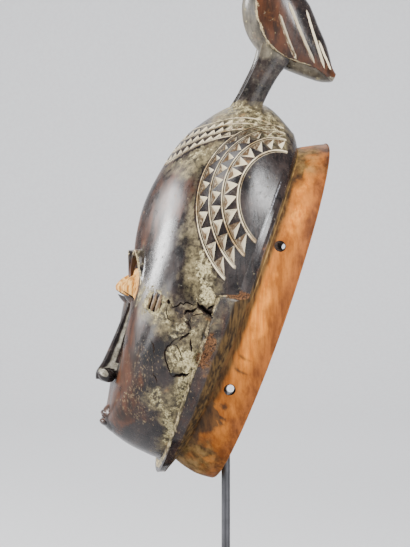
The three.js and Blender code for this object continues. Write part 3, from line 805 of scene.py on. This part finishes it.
def round_bar(name, radius, start, end, material):
    """A round cutter between two world points in millimetres."""
    start, end = Vector(start) * MM, Vector(end) * MM
    bm = bmesh.new()
    bmesh.ops.create_cone(bm, segments=48, radius1=radius * MM, radius2=radius * MM,
                          depth=(end - start).length, cap_ends=True)
    bmesh.ops.rotate(bm, verts=bm.verts, cent=(0, 0, 0),
                     matrix=(end - start).to_track_quat("Z", "Y").to_matrix())
    bmesh.ops.translate(bm, verts=bm.verts, vec=(start + end) / 2)
    return to_object(name, bm, material)


_, low_y, low_z = to_world(np.array([0.0, HOLE["d"], HOLE["heights"][0]])) / MM
combine(mask, round_bar("low_peg_holes", HOLE["radius"], (-FAR, low_y, low_z), (FAR, low_y, low_z), DARK_CUT),
        "DIFFERENCE")
for side in (1, -1):
    _, y, z = to_world(np.array([0.0, HOLE["d"], HOLE["heights"][1]])) / MM
    at = on_side(HOLE["d"], HOLE["heights"][1], side)[0][0]
    turn_at = Vector((at - side * HOLE["straight"], y, z))
    bored = Vector((-side * math.cos(HOLE["lean"]), math.sin(HOLE["lean"]), 0)) * HOLE["reach"]
    for radius, start, end in ((HOLE["radius"], turn_at + Vector((side * 12, 0, 0)), turn_at),
                               (HOLE["inner"], turn_at - bored * 0.07, turn_at + bored)):
        combine(mask, round_bar("high_peg_hole", radius, start, end, DARK_CUT), "DIFFERENCE")
combine(mask, round_bar("rod_socket", ROD["radius"] + ROD["gap"], (0, 0, 0),
                        (0, 0, ROD["top"] + ROD["gap"]), DARK_CUT), "DIFFERENCE")

# %% Crumbs off, and the skin shaded
# Where cuts cross they leave loose flakes, and points that only two faces share. A file of triangles
# would hold both as stray faces, so the piece is kept from its topmost point and the rest is cleared.
SHARP_FROM = math.radians(32)
bm = bmesh.new()
bm.from_mesh(mask.data)
piece, waiting = set(), [max(bm.verts, key=lambda vert: vert.co.z)]
while waiting:
    vert = waiting.pop()
    if vert not in piece:
        piece.add(vert)
        waiting += [edge.other_vert(vert) for edge in vert.link_edges]
crumbs = [vert for vert in bm.verts if vert not in piece]
bmesh.ops.delete(bm, geom=crumbs, context="VERTS")
for _ in range(3):
    bmesh.ops.dissolve_verts(bm, verts=[vert for vert in bm.verts if len(vert.link_edges) == 2])
print("points of loose flakes cleared:", len(crumbs), "open edges:", sum(not e.is_manifold for e in bm.edges))
bm.to_mesh(mask.data)
bm.free()
mask.data.polygons.foreach_set("use_smooth", [True] * len(mask.data.polygons))
mask.data.set_sharp_from_angle(angle=SHARP_FROM)
print("mask triangles:", sum(len(p.vertices) - 2 for p in mask.data.polygons))

# %% [markdown]
# ## Where each finish lies
# The finishes change from place to place: raw wood behind, black polish on the face, red wear on the
# high places, kaolin dust in the hair. Each is a soft field over the wood, worked out once for every
# point and kept as an attribute. The materials only add the fine grain to it.

# %% Places over the wood
ROW_MM = 2.0
BIRD_FROM_MM = 372


def nearest_of(points, places):
    """The nearest of the points to each place: its index, and how far off it is."""
    tree = KDTree(len(points))
    for index, point in enumerate(points):
        tree.insert(point, index)
    tree.balance()
    return np.array([tree.find(place)[1:] for place in places]).T


count = len(mask.data.vertices)
flat = np.empty(count * 3)
mask.data.vertices.foreach_get("co", flat)
world = flat.reshape(-1, 3)
in_mask = to_mask(world)
across, forward, height = in_mask.T
aside = np.abs(across)
is_bird = world[:, 2] / MM > BIRD_FROM_MM
nearest = nearest_of(skin.reshape(-1, 3), in_mask)[0].astype(int)
on_skin = skin.reshape(-1, 3)[nearest]
# Below runs from -1 over the crown to 1 under the chin. Behind is in mm behind the ruff's start, and
# ruff_row counts the rings from there toward the face.
row_of, below = nearest // skin.shape[1], -np.sin(angles[nearest % skin.shape[1]])
in_hollow = (row_of < HOLLOW_ROWS) & ~is_bird
behind = np.where(is_bird, -20.0, np.where(in_hollow, 20.0, (ruff_starts + 0.5 - row_of) * ROW_MM))
ruff_row = np.where(is_bird, -99, row_of - ruff_starts)
on_jaw = below > -RUFF_TOP + RUFF_FADE / 2
print("points of the bird:", int(is_bird.sum()), "in the hollow:", int(in_hollow.sum()))

# %% Rows of the hair
# A row starts at each whole number: 0 is the outermost line over the ear, or the lowest on the brow.
turn = np.degrees(np.arctan2(height - LOBE["h"], forward - LOBE["d"]))
reach = np.hypot(height - LOBE["h"], forward - LOBE["d"])
lines_here = np.array([line_reach(row, np.clip(turn, -90, 90)) for row in range(HAIR_LINES)])
lobe_row = np.full(count, 0.0)
for row in range(HAIR_LINES - 1):
    share = (lines_here[row] - reach) / (lines_here[row] - lines_here[row + 1])
    lobe_row = np.where((share > 0) | (row == 0), row + share, lobe_row)
on_lobe = (turn > LOBE["from"] - 1) & (turn < LOBE["to"] + 1) & (aside > 18)
tongue_row = (height - TONGUE["h"] - TONGUE["rise"] * (across / TONGUE["half"]) ** 2) / TONGUE["pitch"]
on_tongue = (forward > 50) & (lobe_row < -0.26) & (tongue_row > -0.4) & (tongue_row < 3.4)
hair = (on_lobe & (lobe_row > -0.25) & (lobe_row < 3.15)) | on_tongue
print("points of the hair:", int(hair.sum()))

# %% Dust, wear and stains as soft ovals
# Each row is depth, height, half size along, half size across, tilt in degrees, amount.
FILM = [(78, 172, 46, 10, 84, 0.64), (90, 180, 28, 6, 84, 0.42), (64, 130, 28, 13, 75, 0.85),
        (92, 106, 12, 12, 0, 0.8), (86, 96, 11, 9, 0, 0.5), (72, 91, 13, 9, 0, 0.6),
        (62.5, 73, 12, 10, 60, 0.9), (53, 50, 44, 7, 84, 1.0), (64, 36, 18, 7, 45, 0.8),
        (92, 217, 22, 9, -41, 1.0), (68, 258, 36, 14, 0, 1.0)]
CRUST = [(70, 162, 30, 5, 80, 0.45), (65, 136, 20, 7, 72, 0.55), (55, 121, 11, 6, 0, 0.55),
         (62.5, 73, 11, 9, 60, 0.6), (52.5, 54, 36, 4, 86, 0.6), (64, 38, 12, 5, 45, 0.6),
         (92, 106, 9.5, 10.5, 0, 0.5), (68, 94, 10, 6, -20, 0.5), (86, 98, 7, 5, 0, 0.4),
         (68, 264, 26, 6, 0, 0.5), (94, 221, 16, 4, -41, 0.5), (46, 18, 12, 5, 60, 0.6)]
WEAR = [(108, 164, 30, 8, 92, 0.95), (98, 190, 26, 12, 70, 0.8), (97, 76, 40, 5.5, 77, 1.05),
        (88, 36, 27, 8, 76, 1.0), (74, 28, 22, 9, 10, 0.6), (86, 52, 14, 7, 80, 0.6),
        (90, 20, 12, 10, 60, 0.9), (64, 85, 7, 6, 0, 0.4)]
SCUFFS = [(82, 52, 42, 17, 78, 0.45), (104, 150, 44, 10, 90, 0.3), (72, 28, 22, 12, 20, 0.2),
          (66, 125, 26, 18, 70, 0.3), (66, 97, 14, 12, 0, 0.5)]
STAINS = [(31, 33, 14, 9, 100, 1.1), (36, 20, 14, 7, 110, 0.9), (31, 242, 12, 12, 0, 1.0),
          (27, 230, 20, 9, 84, 0.9), (10, 101, 3, 7, 0, 0.35), (33, 60, 34, 6, 84, 0.75),
          (20, 20, 20, 6, 100, 0.4), (35, 205, 26, 5, 84, 0.8), (22, 88, 8, 1.8, 5, 0.9),
          (20, 79, 7, 1.5, 8, 0.8), (18, 52, 9, 1.6, 5, 0.9), (22, 45, 11, 1.8, 8, 0.9),
          (17, 37, 9, 1.6, 6, 0.9), (20, 14, 10, 2.4, 5, 0.9), (12, 160, 4, 18, 4, 0.25)]
AMBER = [(21, 138, 30, 8, 85, 0.7), (18, 100, 22, 7, 85, 0.6), (14, 205, 34, 8, 85, 0.7)]
# The ovals' outlines are pulled about by waves of two sizes, so that no oval can be seen.
DRIFT = [(12, 6), (4.5, 2.2)]
drift = [sum(swing * waves(in_mask, size, k) for size, swing in DRIFT) for k in (21.3, 33.7)]
drifted = in_mask + np.stack([np.zeros(count)] + drift, -1)


def painted(table):
    total = np.zeros(count)
    for d, h, long, wide, tilt, amount in table:
        total += amount * oval(d, h, drifted, long, wide, tilt, 0.7)
    return total * ~is_bird


film, crust, wear, scuff, stain, amber = map(painted, (FILM, CRUST, WEAR, SCUFFS, STAINS, AMBER))
print("most film on one point:", round(float(film.max()), 2))

# %% Finish of the hair, the ruff and the bird
behind_ear = (turn > -78) & (turn < 88) & (aside > 30) & (lobe_row > 3.05)
ruff_side = on_jaw & (ruff_row >= 6) & (ruff_row < 12)
dusty = ~behind_ear & ~ruff_side
film = np.where(hair, 0.15 + 0.7 * smooth(232, 256, height), film) * dusty
film = np.where(ruff_side, 0.45 * smooth(60, 95, height), film)
crust = np.where(hair, 0.5 * smooth(238, 258, height), crust) * dusty
wear = np.where(ruff_side, 0.5, wear)
scuff = np.maximum(np.minimum(scuff, 0.5), 0.36 * ruff_side) * ~behind_ear

back_y, top_z = world[:, 1] / MM, world[:, 2] / MM
# The wing's front edge parts its wear, strongest just behind the edge, from the dusty breast.
wing_edge = np.interp(top_z, *smooth_outline[50::-1, ::-1].T)
past_edge = back_y - wing_edge
on_wing = is_bird & (past_edge > 0) & (aside > 2) & (top_z > 390)
wing_rim = is_bird & (np.abs(past_edge) < 1.0) & (aside > 12) & (top_z > 398)
legs = is_bird & (top_z < 404) & (back_y < 46) & ~on_wing
breast = is_bird & ~on_wing & ~legs
wear = np.where(on_wing, 1.5 - 0.036 * past_edge, wear)
film, scuff = np.where(is_bird, 0.0, film), np.where(is_bird, 0.3, scuff)
crust = np.where(breast, 0.15, crust)
print("points of the wings:", int(on_wing.sum()))

# %% Finish of the nose, the lids and the scars
# The nose and the bars are told from the plain skin by how far they stand proud of it.
on_nose = (aside < 14) & (height > 38) & (height < 106) & (forward > 91) & (forward - on_skin[:, 1] > 0.5)
by_nose = (aside < 16) & (height > 42) & (height < 100) & (forward > 88)
ridge_here = np.interp(-height, [-row[0] for row in NOSE], [row[2] for row in NOSE])
nose_side = on_nose & (forward < ridge_here - 3.6) & (height > 50)
nostril = on_nose & (height < 51)
# The sides of the nose are painted pale: dust with a painted highlight. The oval on each nostril wing is a
# painted highlight.
flank = nose_side * smooth(104, 92, height) + 1.1 * nostril * oval(105.5, 45.5, in_mask, 4.4, 2.8, 30)
wear = wear * np.where(by_nose, 0.4, 1)
film, crust = film * ~on_nose, crust * ~on_nose

from_eye = np.abs(aside - BROW_EDGE[4][0])
eye_gap = np.hypot(from_eye / EYE["size"][0], (height - EYE["h"]) / EYE["size"][2])
upper_lid = ((eye_gap < 1.06) & (forward > 101.5)
             & (height > SLIT["h"] - SLIT["droop"] * (from_eye / SLIT["half"]) ** 2))

scar_gap = np.stack([forward - SCARS["d"], height - SCARS["h"]], -1)
on_scars = (np.hypot(*(scar_gap / (6.2, 8.4)).T) < 1) & (aside > 40)
in_bars = np.hypot(*(scar_gap / (4.4, 6.8)).T) < 1
on_bars = on_scars & (aside - np.abs(on_skin[:, 0]) > 0.35)
wear, scuff = np.where(on_bars, 1.6, wear), np.where(on_bars, 1.0, scuff)
film, crust = film * ~in_bars, np.where(on_scars & ~in_bars, 0.75, crust * ~in_bars)
print("points of the nose:", int(on_nose.sum()), "of the bare lids:", int(upper_lid.sum()))

# %% Finish of the brows
# Outside the brow's sharp edge dust lies at its foot. Inside it the socket is rubbed red.
BROW_FRONT, FAR_OFF = 85, 99
brow_line = along_all(BROW_EDGE[3:], 60)
nearest_edge, brow_gap = nearest_of(brow_line, np.stack([aside, forward, height], -1))
brow_gap = np.where(forward > BROW_FRONT, brow_gap, FAR_OFF)
inside_brow = (forward > BROW_FRONT) & (aside < brow_line[nearest_edge.astype(int), 0] - 0.5)
in_socket = (inside_brow & (np.hypot(from_eye / 17, (height - 112) / 26) < 1) & (height > 108)
             & (forward > 98))
brow_foot = smooth(10, 4, brow_gap) * ~inside_brow
film, crust = film * ~in_socket + 0.4 * brow_foot, crust * ~in_socket + 0.25 * brow_foot
wear = np.where(in_socket & ~upper_lid, 1.35, wear) * (1 - brow_foot)
print("points inside the sockets:", int(in_socket.sum()))

# %% Finish of the edges and the raw back
# Edges that hands touch are worn pale: the ruff's, the wings', the brows' and the lip's.
lip_rows = np.abs(row_of - band_starts)
on_back = behind > -1
ledge = (0.62 * (on_jaw & (ruff_row >= 13) & (ruff_row < 17)) + 0.7 * wing_rim + 0.75 * (brow_gap < 1.3)
         + 0.5 * ((lip_rows <= 1) & ~is_bird))
rim = smooth(9, 0, lip_rows) * on_back * ~is_bird
torn = oval(46, 90, in_mask, 8, 5, 70) + oval(46.5, 77, in_mask, 7, 6, 60)
torn = (torn * (across > 0) * on_jaw * (ruff_row >= 5)
        + 0.9 * (np.abs(below) < 0.035) * (ruff_row >= 4) * (ruff_row < 18))
# The strip from the band's foot to the back of the ruff is painted dark: painted shade in the recess, over
# dark olive wood.
recess = smooth(-6, -1, ruff_row) * smooth(7, 5, ruff_row) * ~is_bird
# The raw back is darker towards its top, its foot and the ruff, besides its stains.
stain = (stain + 0.8 * smooth(226, 262, height) + 0.6 * smooth(30, 2, height)
         + 0.55 * smooth(9, 0, behind) * on_jaw + 0.35 * smooth(5, 0, behind))
tan = (0.8 * (np.abs(ruff_row) <= 1) * (below < 0) + 0.85 * smooth(34, 6, height)
       + 0.62 * smooth(212, 246, height))
# A thin pale blue-grey line along the rounded back edge over the ear is a painted highlight.
painted_rim_highlight = (ruff_row >= 15) * (ruff_row <= 16) * smooth(-0.2, -0.42, below) * smooth(-0.82, -0.62, below)
print("points of the raw back:", int(on_back.sum()))

# %% Fields stored on the mesh
# Hair rows are scaled to between 0 and 1, for the colour ramps that draw the ridges beside each line.
ROW_SPAN = HAIR_LINES + 1
# Chip facets that face up, forward and to the mask's left are painted pale and the others darker: painted
# light and shade, besides clay that settles on faces that look up.
LIT_FROM, LIT_BETWEEN = (0.72, -0.55, 0.45), (0.3, 0.75)
facets = np.empty(len(mask.data.polygons) * 3)
mask.data.polygons.foreach_get("normal", facets)
lit = smooth(*LIT_BETWEEN, facets.reshape(-1, 3) @ (np.array(LIT_FROM) / np.linalg.norm(LIT_FROM)))
fields = {"wear": wear, "scuff": scuff, "film": film, "crust": crust, "torn": torn, "ledge": ledge,
          "bare": upper_lid & ~is_bird, "raw": behind + 30, "recess": recess, "amber": amber, "rim": rim,
          "stain": stain * on_back, "tan": tan * on_back, "hollow": in_hollow, "lobe": on_lobe,
          "lobe_row": (lobe_row + 1) / ROW_SPAN, "tongue": on_tongue,
          "tongue_row": (HAIR_LINES - tongue_row) / ROW_SPAN,
          "edge": 0.8 * painted_rim_highlight, "flank": flank, "ash": breast + 0.45 * legs, "lit": lit}
for name, values in fields.items():
    field = mask.data.attributes.new(name, "FLOAT", "FACE" if name == "lit" else "POINT")
    field.data.foreach_set("value", np.clip(values, 0, 100).astype(np.float32))
print("fields stored on", count, "points:", ", ".join(fields))

# %% [markdown]
# ## Materials
# Every finish is built from nodes that read Object coordinates or the fields above. One function adds
# a node, sets its options, fills its plain sockets and links the rest. Colours are written as hex
# values, as on a screen, and turned to linear light once.

# %% Node and colour helpers
MIX, SOFT = {"data_type": "RGBA"}, {"interpolation_type": "SMOOTHSTEP"}


def tone(code):
    parts = [int(code[k:k + 2], 16) / 255 for k in (1, 3, 5)]
    return tuple(c / 12.92 if c <= 0.04045 else ((c + 0.055) / 1.055) ** 2.4 for c in parts) + (1,)


def add(material, kind, options=None, out=0, **sockets):
    """Add a node, set its options, fill or link its inputs (in_0 is input 0), and give one output."""
    made = material.node_tree.nodes.new("ShaderNode" + kind)
    for key, value in (options or {}).items():
        setattr(made, key, value)
    for key, value in sockets.items():
        socket = made.inputs[int(key[3:])] if key.startswith("in_") else made.inputs[key.replace("_", " ")]
        if isinstance(value, bpy.types.NodeSocket):
            material.node_tree.links.new(value, socket)
        else:
            socket.default_value = value
    return made.outputs[out] if len(made.outputs) else made


def new_material(name):
    material = bpy.data.materials.get(name) or bpy.data.materials.new(name)
    material.use_nodes = True
    material.node_tree.nodes.clear()
    return material


def mottled(material, size_mm, low, high, dark, light):
    """A soft noise in the object's own space, and a colour that follows it from dark to light."""
    noise_out = add(material, "TexNoise", Vector=add(material, "TexCoord", out=3), Scale=1000 / size_mm,
                    Detail=4.0)
    share = add(material, "MapRange", SOFT, Value=noise_out, From_Min=low, From_Max=high)
    return noise_out, add(material, "Mix", MIX, 2, in_0=share, in_6=tone(dark), in_7=tone(light))


def finish_material(material, **sockets):
    add(material, "OutputMaterial", Surface=add(material, "BsdfPrincipled", **sockets))


print("a middle grey in linear light:", round(tone("#808080")[0], 3))

# %% [markdown]
# ## Polished and worn wood
# The mask is a pale, close-grained wood, blackened and rubbed with oil until it shines. Where hands and
# cloth have worn the black away, red-brown wood shows. Kaolin and dust sit in the low places as a dry
# cream crust. The raw back is orange-tan, stained dark where it was held, and darker towards its top,
# its foot and the ruff. A few coats carry painted light and shade: a highlight along the back edge over
# the ear, on the nose and on the hair ridges, and shade in the recess before the ruff. The material is a
# stack of coats: each has a field that says where it lies, and a noise that breaks up its edge.

# %% Noises and coats of the carved wood
# Size of a feature in mm, detail, roughness, and how far it is drawn out along the grain.
NOISES = {"fibres": (2.2, 5, 0.55, 0.09), "crumb": (4, 9, 0.7, 1), "speck": (1.3, 4, 0.7, 1),
          "cloud": (17, 7, 0.62, 1), "streak": (7, 7, 0.66, 0.2), "nick": (1.4, 4, 0.62, 0.5)}
# Where it lies, what breaks it up and by how much, from, to, cover, what tints it, its dark and light
# tones, its roughness, and its thickness in mm.
COATS = [
    ("wear", "streak", 1.3, 0.95, 1.9, 0.85, "streak", "#24160d", "#58311a", 0.32, 0),
    ("scuff", "nick", 2.2, 1.72, 1.86, 0.7, "crumb", "#5c4a38", "#a08b68", 0.5, 0.02),
    ("ash", "crumb", 1.2, 0.9, 1.9, 0.75, "streak", "#4b463b", "#8f8672", 0.4, 0.02),
    ("film", "cloud", 1.9, 1.15, 2.1, 0.72, "crumb", "#372f1f", "#a3946b", 0.5, 0.03),
    ("crust", "crumb", 3.4, 2.15, 2.45, 0.9, "speck", "#6f6443", "#d8cb9e", 0.85, 0.3),
    ("torn", "crumb", 2.4, 1.65, 2.1, 0.9, "speck", "#120a06", "#80583a", 0.7, 0.5),
    ("ledge", "crumb", 2.0, 1.45, 1.75, 0.92, "speck", "#7d6a46", "#e6d4a8", 0.7, 0.1),
    # The flank coat is pale dust with a painted highlight on the sides of the nose, and a painted highlight
    # on the nostril wings.
    ("flank", "cloud", 0.7, 0.9, 1.35, 0.9, "crumb", "#77705f", "#d5cfbb", 0.4, 0),
    # The edge coat is a painted highlight along the rounded back edge over the ear.
    ("edge", "speck", 0.6, 0.8, 1.3, 0.75, "speck", "#6b6c74", "#c9cbd2", 0.3, 0),
    ("bare", "speck", 0.5, 0.55, 0.95, 1, "fibres", "#a5661f", "#f2bf72", 0.75, 0),
    ("raw", "crumb", 3.0, 31.2, 32.4, 1, "streak", "#874a18", "#b86f2c", 0.62, 0),
    ("amber", "cloud", 2.2, 1.35, 2.1, 0.75, "fibres", "#cf701c", "#f79c38", 0.62, 0),
    # The recess coat is painted shade in the recess before the ruff, over dark olive wood.
    ("recess", "cloud", 0.9, 0.7, 1.3, 0.92, "fibres", "#231a12", "#5b4629", 0.7, 0.1),
    ("stain", "cloud", 2.2, 1.4, 2.1, 0.92, "streak", "#1d1208", "#5a3c1c", 0.5, 0),
    ("tan", "cloud", 2.2, 1.4, 2.1, 0.75, "streak", "#57431f", "#a3824f", 0.7, 0),
    ("rim", "cloud", 1.4, 1.0, 1.7, 0.72, "streak", "#43200f", "#85481f", 0.5, 0),
    ("hollow", "crumb", 0.2, 0.4, 0.7, 1, "streak", "#2e1d14", "#6a452b", 0.8, 0),
]
print("noises:", len(NOISES), "coats:", len(COATS))

# %% Black polish under the coats
patina = new_material("patinated_carved_wood")
place_in = add(patina, "TexCoord", out=3)
noises = {}
for name, (size_mm, detail, rough, stretch) in NOISES.items():
    mapped = add(patina, "Mapping", in_0=place_in, Rotation=(LEAN, 0, 0), Scale=(1, 1, stretch))
    noises[name] = add(patina, "TexNoise", Vector=mapped, Scale=1000 / size_mm, Detail=detail,
                       Roughness=rough)

share = add(patina, "MapRange", SOFT, Value=noises["cloud"], From_Min=0.38, From_Max=0.66)
colour = add(patina, "Mix", MIX, 2, in_0=share, in_6=tone("#120f10"), in_7=tone("#332b29"))
share = add(patina, "MapRange", SOFT, Value=noises["fibres"], From_Min=0.45, From_Max=0.75, To_Max=0.3)
colour = add(patina, "Mix", MIX, 2, in_0=share, in_6=colour, in_7=tone("#4a3a33"))
roughness = add(patina, "MapRange", Value=noises["crumb"], From_Min=0.3, From_Max=0.7, To_Min=0.18,
                To_Max=0.32)
relief = add(patina, "Math", {"operation": "MULTIPLY"}, in_0=noises["fibres"], in_1=0.06)
print("black polish:", len(patina.node_tree.nodes), "nodes")

# %% Coats laid over the polish
LOBE_PITCH = 10
# The painted brightness of the ridges beside a carved line, by mm off it, outer side first: pale dust, with a
# painted highlight on the outer side.
RIDGE_STEPS = ((-RIDGE["outer"] - 0.25, 0), (-RIDGE["outer"], 1), (-0.1, 1), (0.1, 0.45),
               (RIDGE["inner"], 0.45), (RIDGE["inner"] + 0.25, 0))


def ridge_dust_and_highlight(name, lines, unit):
    """Pale dust and a painted highlight on the ridges beside each carved line: bright on its outer side, dull
    on its inner side.
    """
    shown = add(patina, "ValToRGB", in_0=add(patina, "Attribute", {"attribute_name": name}, 2))
    elements = shown.node.color_ramp.elements
    elements[0].position, elements[1].position = 0, 1
    elements[0].color = elements[1].color = (0, 0, 0, 1)
    for middle in lines:
        for step, value in RIDGE_STEPS:
            elements.new(middle + step * unit).color = (value, value, value, 1)
    return shown


for (name, broken_by, spread, low, high, cover, tinted_by, dark, light, coat_rough, thick) in COATS:
    lies = add(patina, "Attribute", {"attribute_name": name}, 2)
    total = add(patina, "Math", {"operation": "MULTIPLY_ADD"}, in_0=noises[broken_by], in_1=spread, in_2=lies)
    share = add(patina, "MapRange", SOFT, Value=total, From_Min=low, From_Max=high, To_Max=cover)
    tint = add(patina, "MapRange", SOFT, Value=noises[tinted_by], From_Min=0.34, From_Max=0.66)
    coat = add(patina, "Mix", MIX, 2, in_0=tint, in_6=tone(dark), in_7=tone(light))
    colour = add(patina, "Mix", MIX, 2, in_0=share, in_6=colour, in_7=coat)
    roughness = add(patina, "Mix", in_0=share, in_2=roughness, in_3=coat_rough)
    relief = add(patina, "Math", {"operation": "MULTIPLY_ADD"}, in_0=share, in_1=thick, in_2=relief)
    if name == "crust":
        for field_name, value_name, unit in (
                ("lobe", "lobe_row", 1 / (ROW_SPAN * LOBE_PITCH)),
                ("tongue", "tongue_row", 1 / (ROW_SPAN * TONGUE["pitch"]))):
            # Beside each hair line the ridges are painted pale: dust, with a painted highlight on their outer
            # side.
            beside = ridge_dust_and_highlight(value_name, [(row + 1) / ROW_SPAN for row in range(HAIR_LINES)], unit)
            inside = add(patina, "Attribute", {"attribute_name": field_name}, 2)
            ridge_breakup = add(patina, "MapRange", SOFT, Value=noises["crumb"], From_Min=0.32, From_Max=0.46,
                       To_Min=0.35)
            share = add(patina, "Math", {"operation": "MULTIPLY"}, in_0=inside, in_1=ridge_breakup)
            share = add(patina, "Math", {"operation": "MULTIPLY"}, in_0=share, in_1=beside)
            paler_share = add(patina, "MapRange", SOFT, Value=noises["cloud"], From_Min=0.36, From_Max=0.56)
            cream = add(patina, "Mix", MIX, 2, in_0=paler_share, in_6=tone("#97784a"), in_7=tone("#e9d8b4"))
            colour = add(patina, "Mix", MIX, 2, in_0=share, in_6=colour, in_7=cream)
            roughness = add(patina, "Mix", in_0=share, in_2=roughness, in_3=0.5)
bump = add(patina, "Bump", Strength=0.8, Distance=0.001, Height=relief)
shine = add(patina, "MapRange", Value=roughness, From_Min=0.35, From_Max=0.62, To_Min=0.36, To_Max=0.12)
finish_material(patina, Base_Color=colour, Roughness=roughness, Normal=bump, Specular_IOR_Level=shine)
print("carved wood:", len(patina.node_tree.nodes), "nodes")

# %% Kaolin in the chips, and dark cut wood
kaolin = new_material("kaolin_in_chip_cuts")
here = add(kaolin, "TexCoord", out=3)
clumps = add(kaolin, "TexNoise", Vector=here, Scale=1000 / 2.5, Detail=6.0, Roughness=0.7)
# Facets that face the light are painted pale and the others dark: painted light and shade, broken up by
# clumps of clay.
facet_lighting = add(kaolin, "Attribute", {"attribute_name": "lit"}, 2)
clay_and_lighting = add(kaolin, "Math", {"operation": "MULTIPLY_ADD"}, in_0=clumps, in_1=1.4, in_2=facet_lighting)
share = add(kaolin, "MapRange", SOFT, Value=clay_and_lighting, From_Min=0.62, From_Max=1.25)
clay = add(kaolin, "Mix", MIX, 2, in_0=share, in_6=tone("#523d27"), in_7=tone("#f3e5c4"))
lumpy = add(kaolin, "Bump", Strength=0.5, Distance=0.0005, Height=clumps)
finish_material(kaolin, Base_Color=clay, Roughness=0.85, Normal=lumpy)

cut_wood = new_material("dark_cut_wood")
fibre, cut_tone = mottled(cut_wood, 1.5, 0.35, 0.7, "#120b07", "#3d2818")
rough_cut = add(cut_wood, "Bump", Strength=0.4, Distance=0.0004, Height=fibre)
finish_material(cut_wood, Base_Color=cut_tone, Roughness=0.8, Normal=rough_cut)

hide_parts("mask")
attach(mask, "root")
print("mask materials:", [slot.name for slot in mask.data.materials])

# %% [markdown]
# ## The stand
# A thin rod of black steel goes up behind the chin, into the hollow. A bar welded across it ends in two
# pegs that sit in the lower pair of holes, their ends painted light grey as a painted highlight, and a
# collar covers the weld. The foot is a plain square plate. The solids already have the right shape, so
# they keep their meshes and only get the material.

# %% Blackened steel
steel = new_material("blackened_steel_rod")
here = add(steel, "TexCoord", out=3)
drawn = add(steel, "Mapping", in_0=here, Scale=(1, 1, 0.05))
lines_in = add(steel, "TexNoise", Vector=drawn, Scale=1000 / 0.8, Detail=3.0)
blotch, steel_tone = mottled(steel, 14, 0.35, 0.7, "#505053", "#5f5f63")
aside = add(steel, "Math", {"operation": "ABSOLUTE"}, in_0=add(steel, "SeparateXYZ", in_0=here))
# The pegs' ends are painted light grey: a painted highlight.
paler_share = add(steel, "MapRange", SOFT, Value=aside, From_Min=0.058, From_Max=0.066)
raised = add(steel, "MapRange", Value=add(steel, "SeparateXYZ", out=2, in_0=here), From_Min=0.05,
             From_Max=0.06)
paler_share = add(steel, "Math", {"operation": "MULTIPLY"}, in_0=paler_share, in_1=raised)
steel_tone = add(steel, "Mix", MIX, 2, in_0=paler_share, in_6=steel_tone, in_7=tone("#d2d3d6"))
scratch = add(steel, "Bump", Strength=0.25, Distance=0.0002, Height=lines_in)
finish_material(steel, Base_Color=steel_tone, Metallic=0.85, Normal=scratch,
                Roughness=add(steel, "MapRange", SOFT, Value=blotch, From_Min=0.3, From_Max=0.7, To_Min=0.4,
                              To_Max=0.5))

for node_object in [o for o in bpy.data.objects if o.name.startswith(("stand_rod", "stand_foot"))]:
    for slot in node_object.material_slots:
        slot.material = steel
    print(node_object.name, "gets", steel.name)

# %% [markdown]
# ## The studio
# A pale sweep of paper curves up behind the stand, and large soft lights stand round it. The grey
# reflections on the polished forehead come from a soft box ahead of the face, and the one behind the
# ear from a tall soft box behind the mask. The paper has a light of its own.

# %% Paper sweep
paper = new_material("pale_grey_paper")
finish_material(paper, Base_Color=mottled(paper, 6, 0.3, 0.7, "#c8c8cb", "#cccdcf")[1], Roughness=0.9)

SWEEP_MM = {"wide": 7000, "front": 3200, "back": 4000, "bend": 900, "tall": 2600}
bm = bmesh.new()
bmesh.ops.create_grid(bm, x_segments=1, y_segments=40, size=1)
bm.verts.ensure_lookup_table()
length = SWEEP_MM["front"] + SWEEP_MM["back"] + SWEEP_MM["tall"]
for vert in bm.verts:
    share = (vert.co.y + 1) / 2
    run = share * length - SWEEP_MM["front"]
    flat_end = SWEEP_MM["back"] - SWEEP_MM["bend"]
    swing = min(max((run - flat_end) / SWEEP_MM["bend"], 0), math.pi / 2)
    rise = max(run - flat_end - SWEEP_MM["bend"] * math.pi / 2, 0)
    away = min(run, flat_end) + SWEEP_MM["bend"] * math.sin(swing)
    z = SWEEP_MM["bend"] * (1 - math.cos(swing)) + rise
    side_way = Vector((-looking.y, looking.x, 0)) * vert.co.x * SWEEP_MM["wide"] / 2
    vert.co = (looking * away + side_way + Vector((0, 0, z))) * MM
bmesh.ops.recalc_face_normals(bm, faces=bm.faces)
sweep = to_object("paper_sweep", bm, finishes=[paper])
sweep.data.polygons.foreach_set("use_smooth", [True] * len(sweep.data.polygons))
print("paper sweep:", len(sweep.data.polygons), "faces")

# %% Lights
# Where each light stands, where it points, its watts and its size, in metres.
MASK_MIDDLE = tuple(FRAME_CENTRE_MM * MM)
LIGHTS = {
    "soft_box_face": ((-0.66, -1.7, 0.96), MASK_MIDDLE, 62, (0.62, 0.6)),
    "soft_box_low": ((0.5, -1.9, 0.55), MASK_MIDDLE, 20, (0.8, 0.7)),
    "soft_box_ear": ((1.55, 1.25, 1.25), MASK_MIDDLE, 74, (0.55, 1.0)),
    "overhead": ((1.2, -0.7, 2.3), MASK_MIDDLE, 50, (1.2, 1.2)),
    "soft_box_camera": ((2.3, 0.6, 0.4), MASK_MIDDLE, 6, (0.35, 0.8)),
    "paper_light": ((-2.7, 0.24, 2.4), (-3.6, 0.35, 0.3), 95, (2, 2.8)),
}
for name, (place, target, power, size) in LIGHTS.items():
    data = bpy.data.lights.new(name, "AREA")
    data.shape, data.energy, data.size, data.size_y = "RECTANGLE", power, size[0], size[1]
    light = bpy.data.objects.new(name, data)
    light.location = place
    light.rotation_euler = (Vector(target) - Vector(place)).to_track_quat("-Z", "Y").to_euler()
    bpy.context.scene.collection.objects.link(light)
world = bpy.data.worlds.new("soft_room")
bpy.context.scene.world = world
world.use_nodes = True
world.node_tree.nodes["Background"].inputs["Color"].default_value = tone("#dfe1e6")
world.node_tree.nodes["Background"].inputs["Strength"].default_value = 0.3
print("lights:", sorted(LIGHTS))
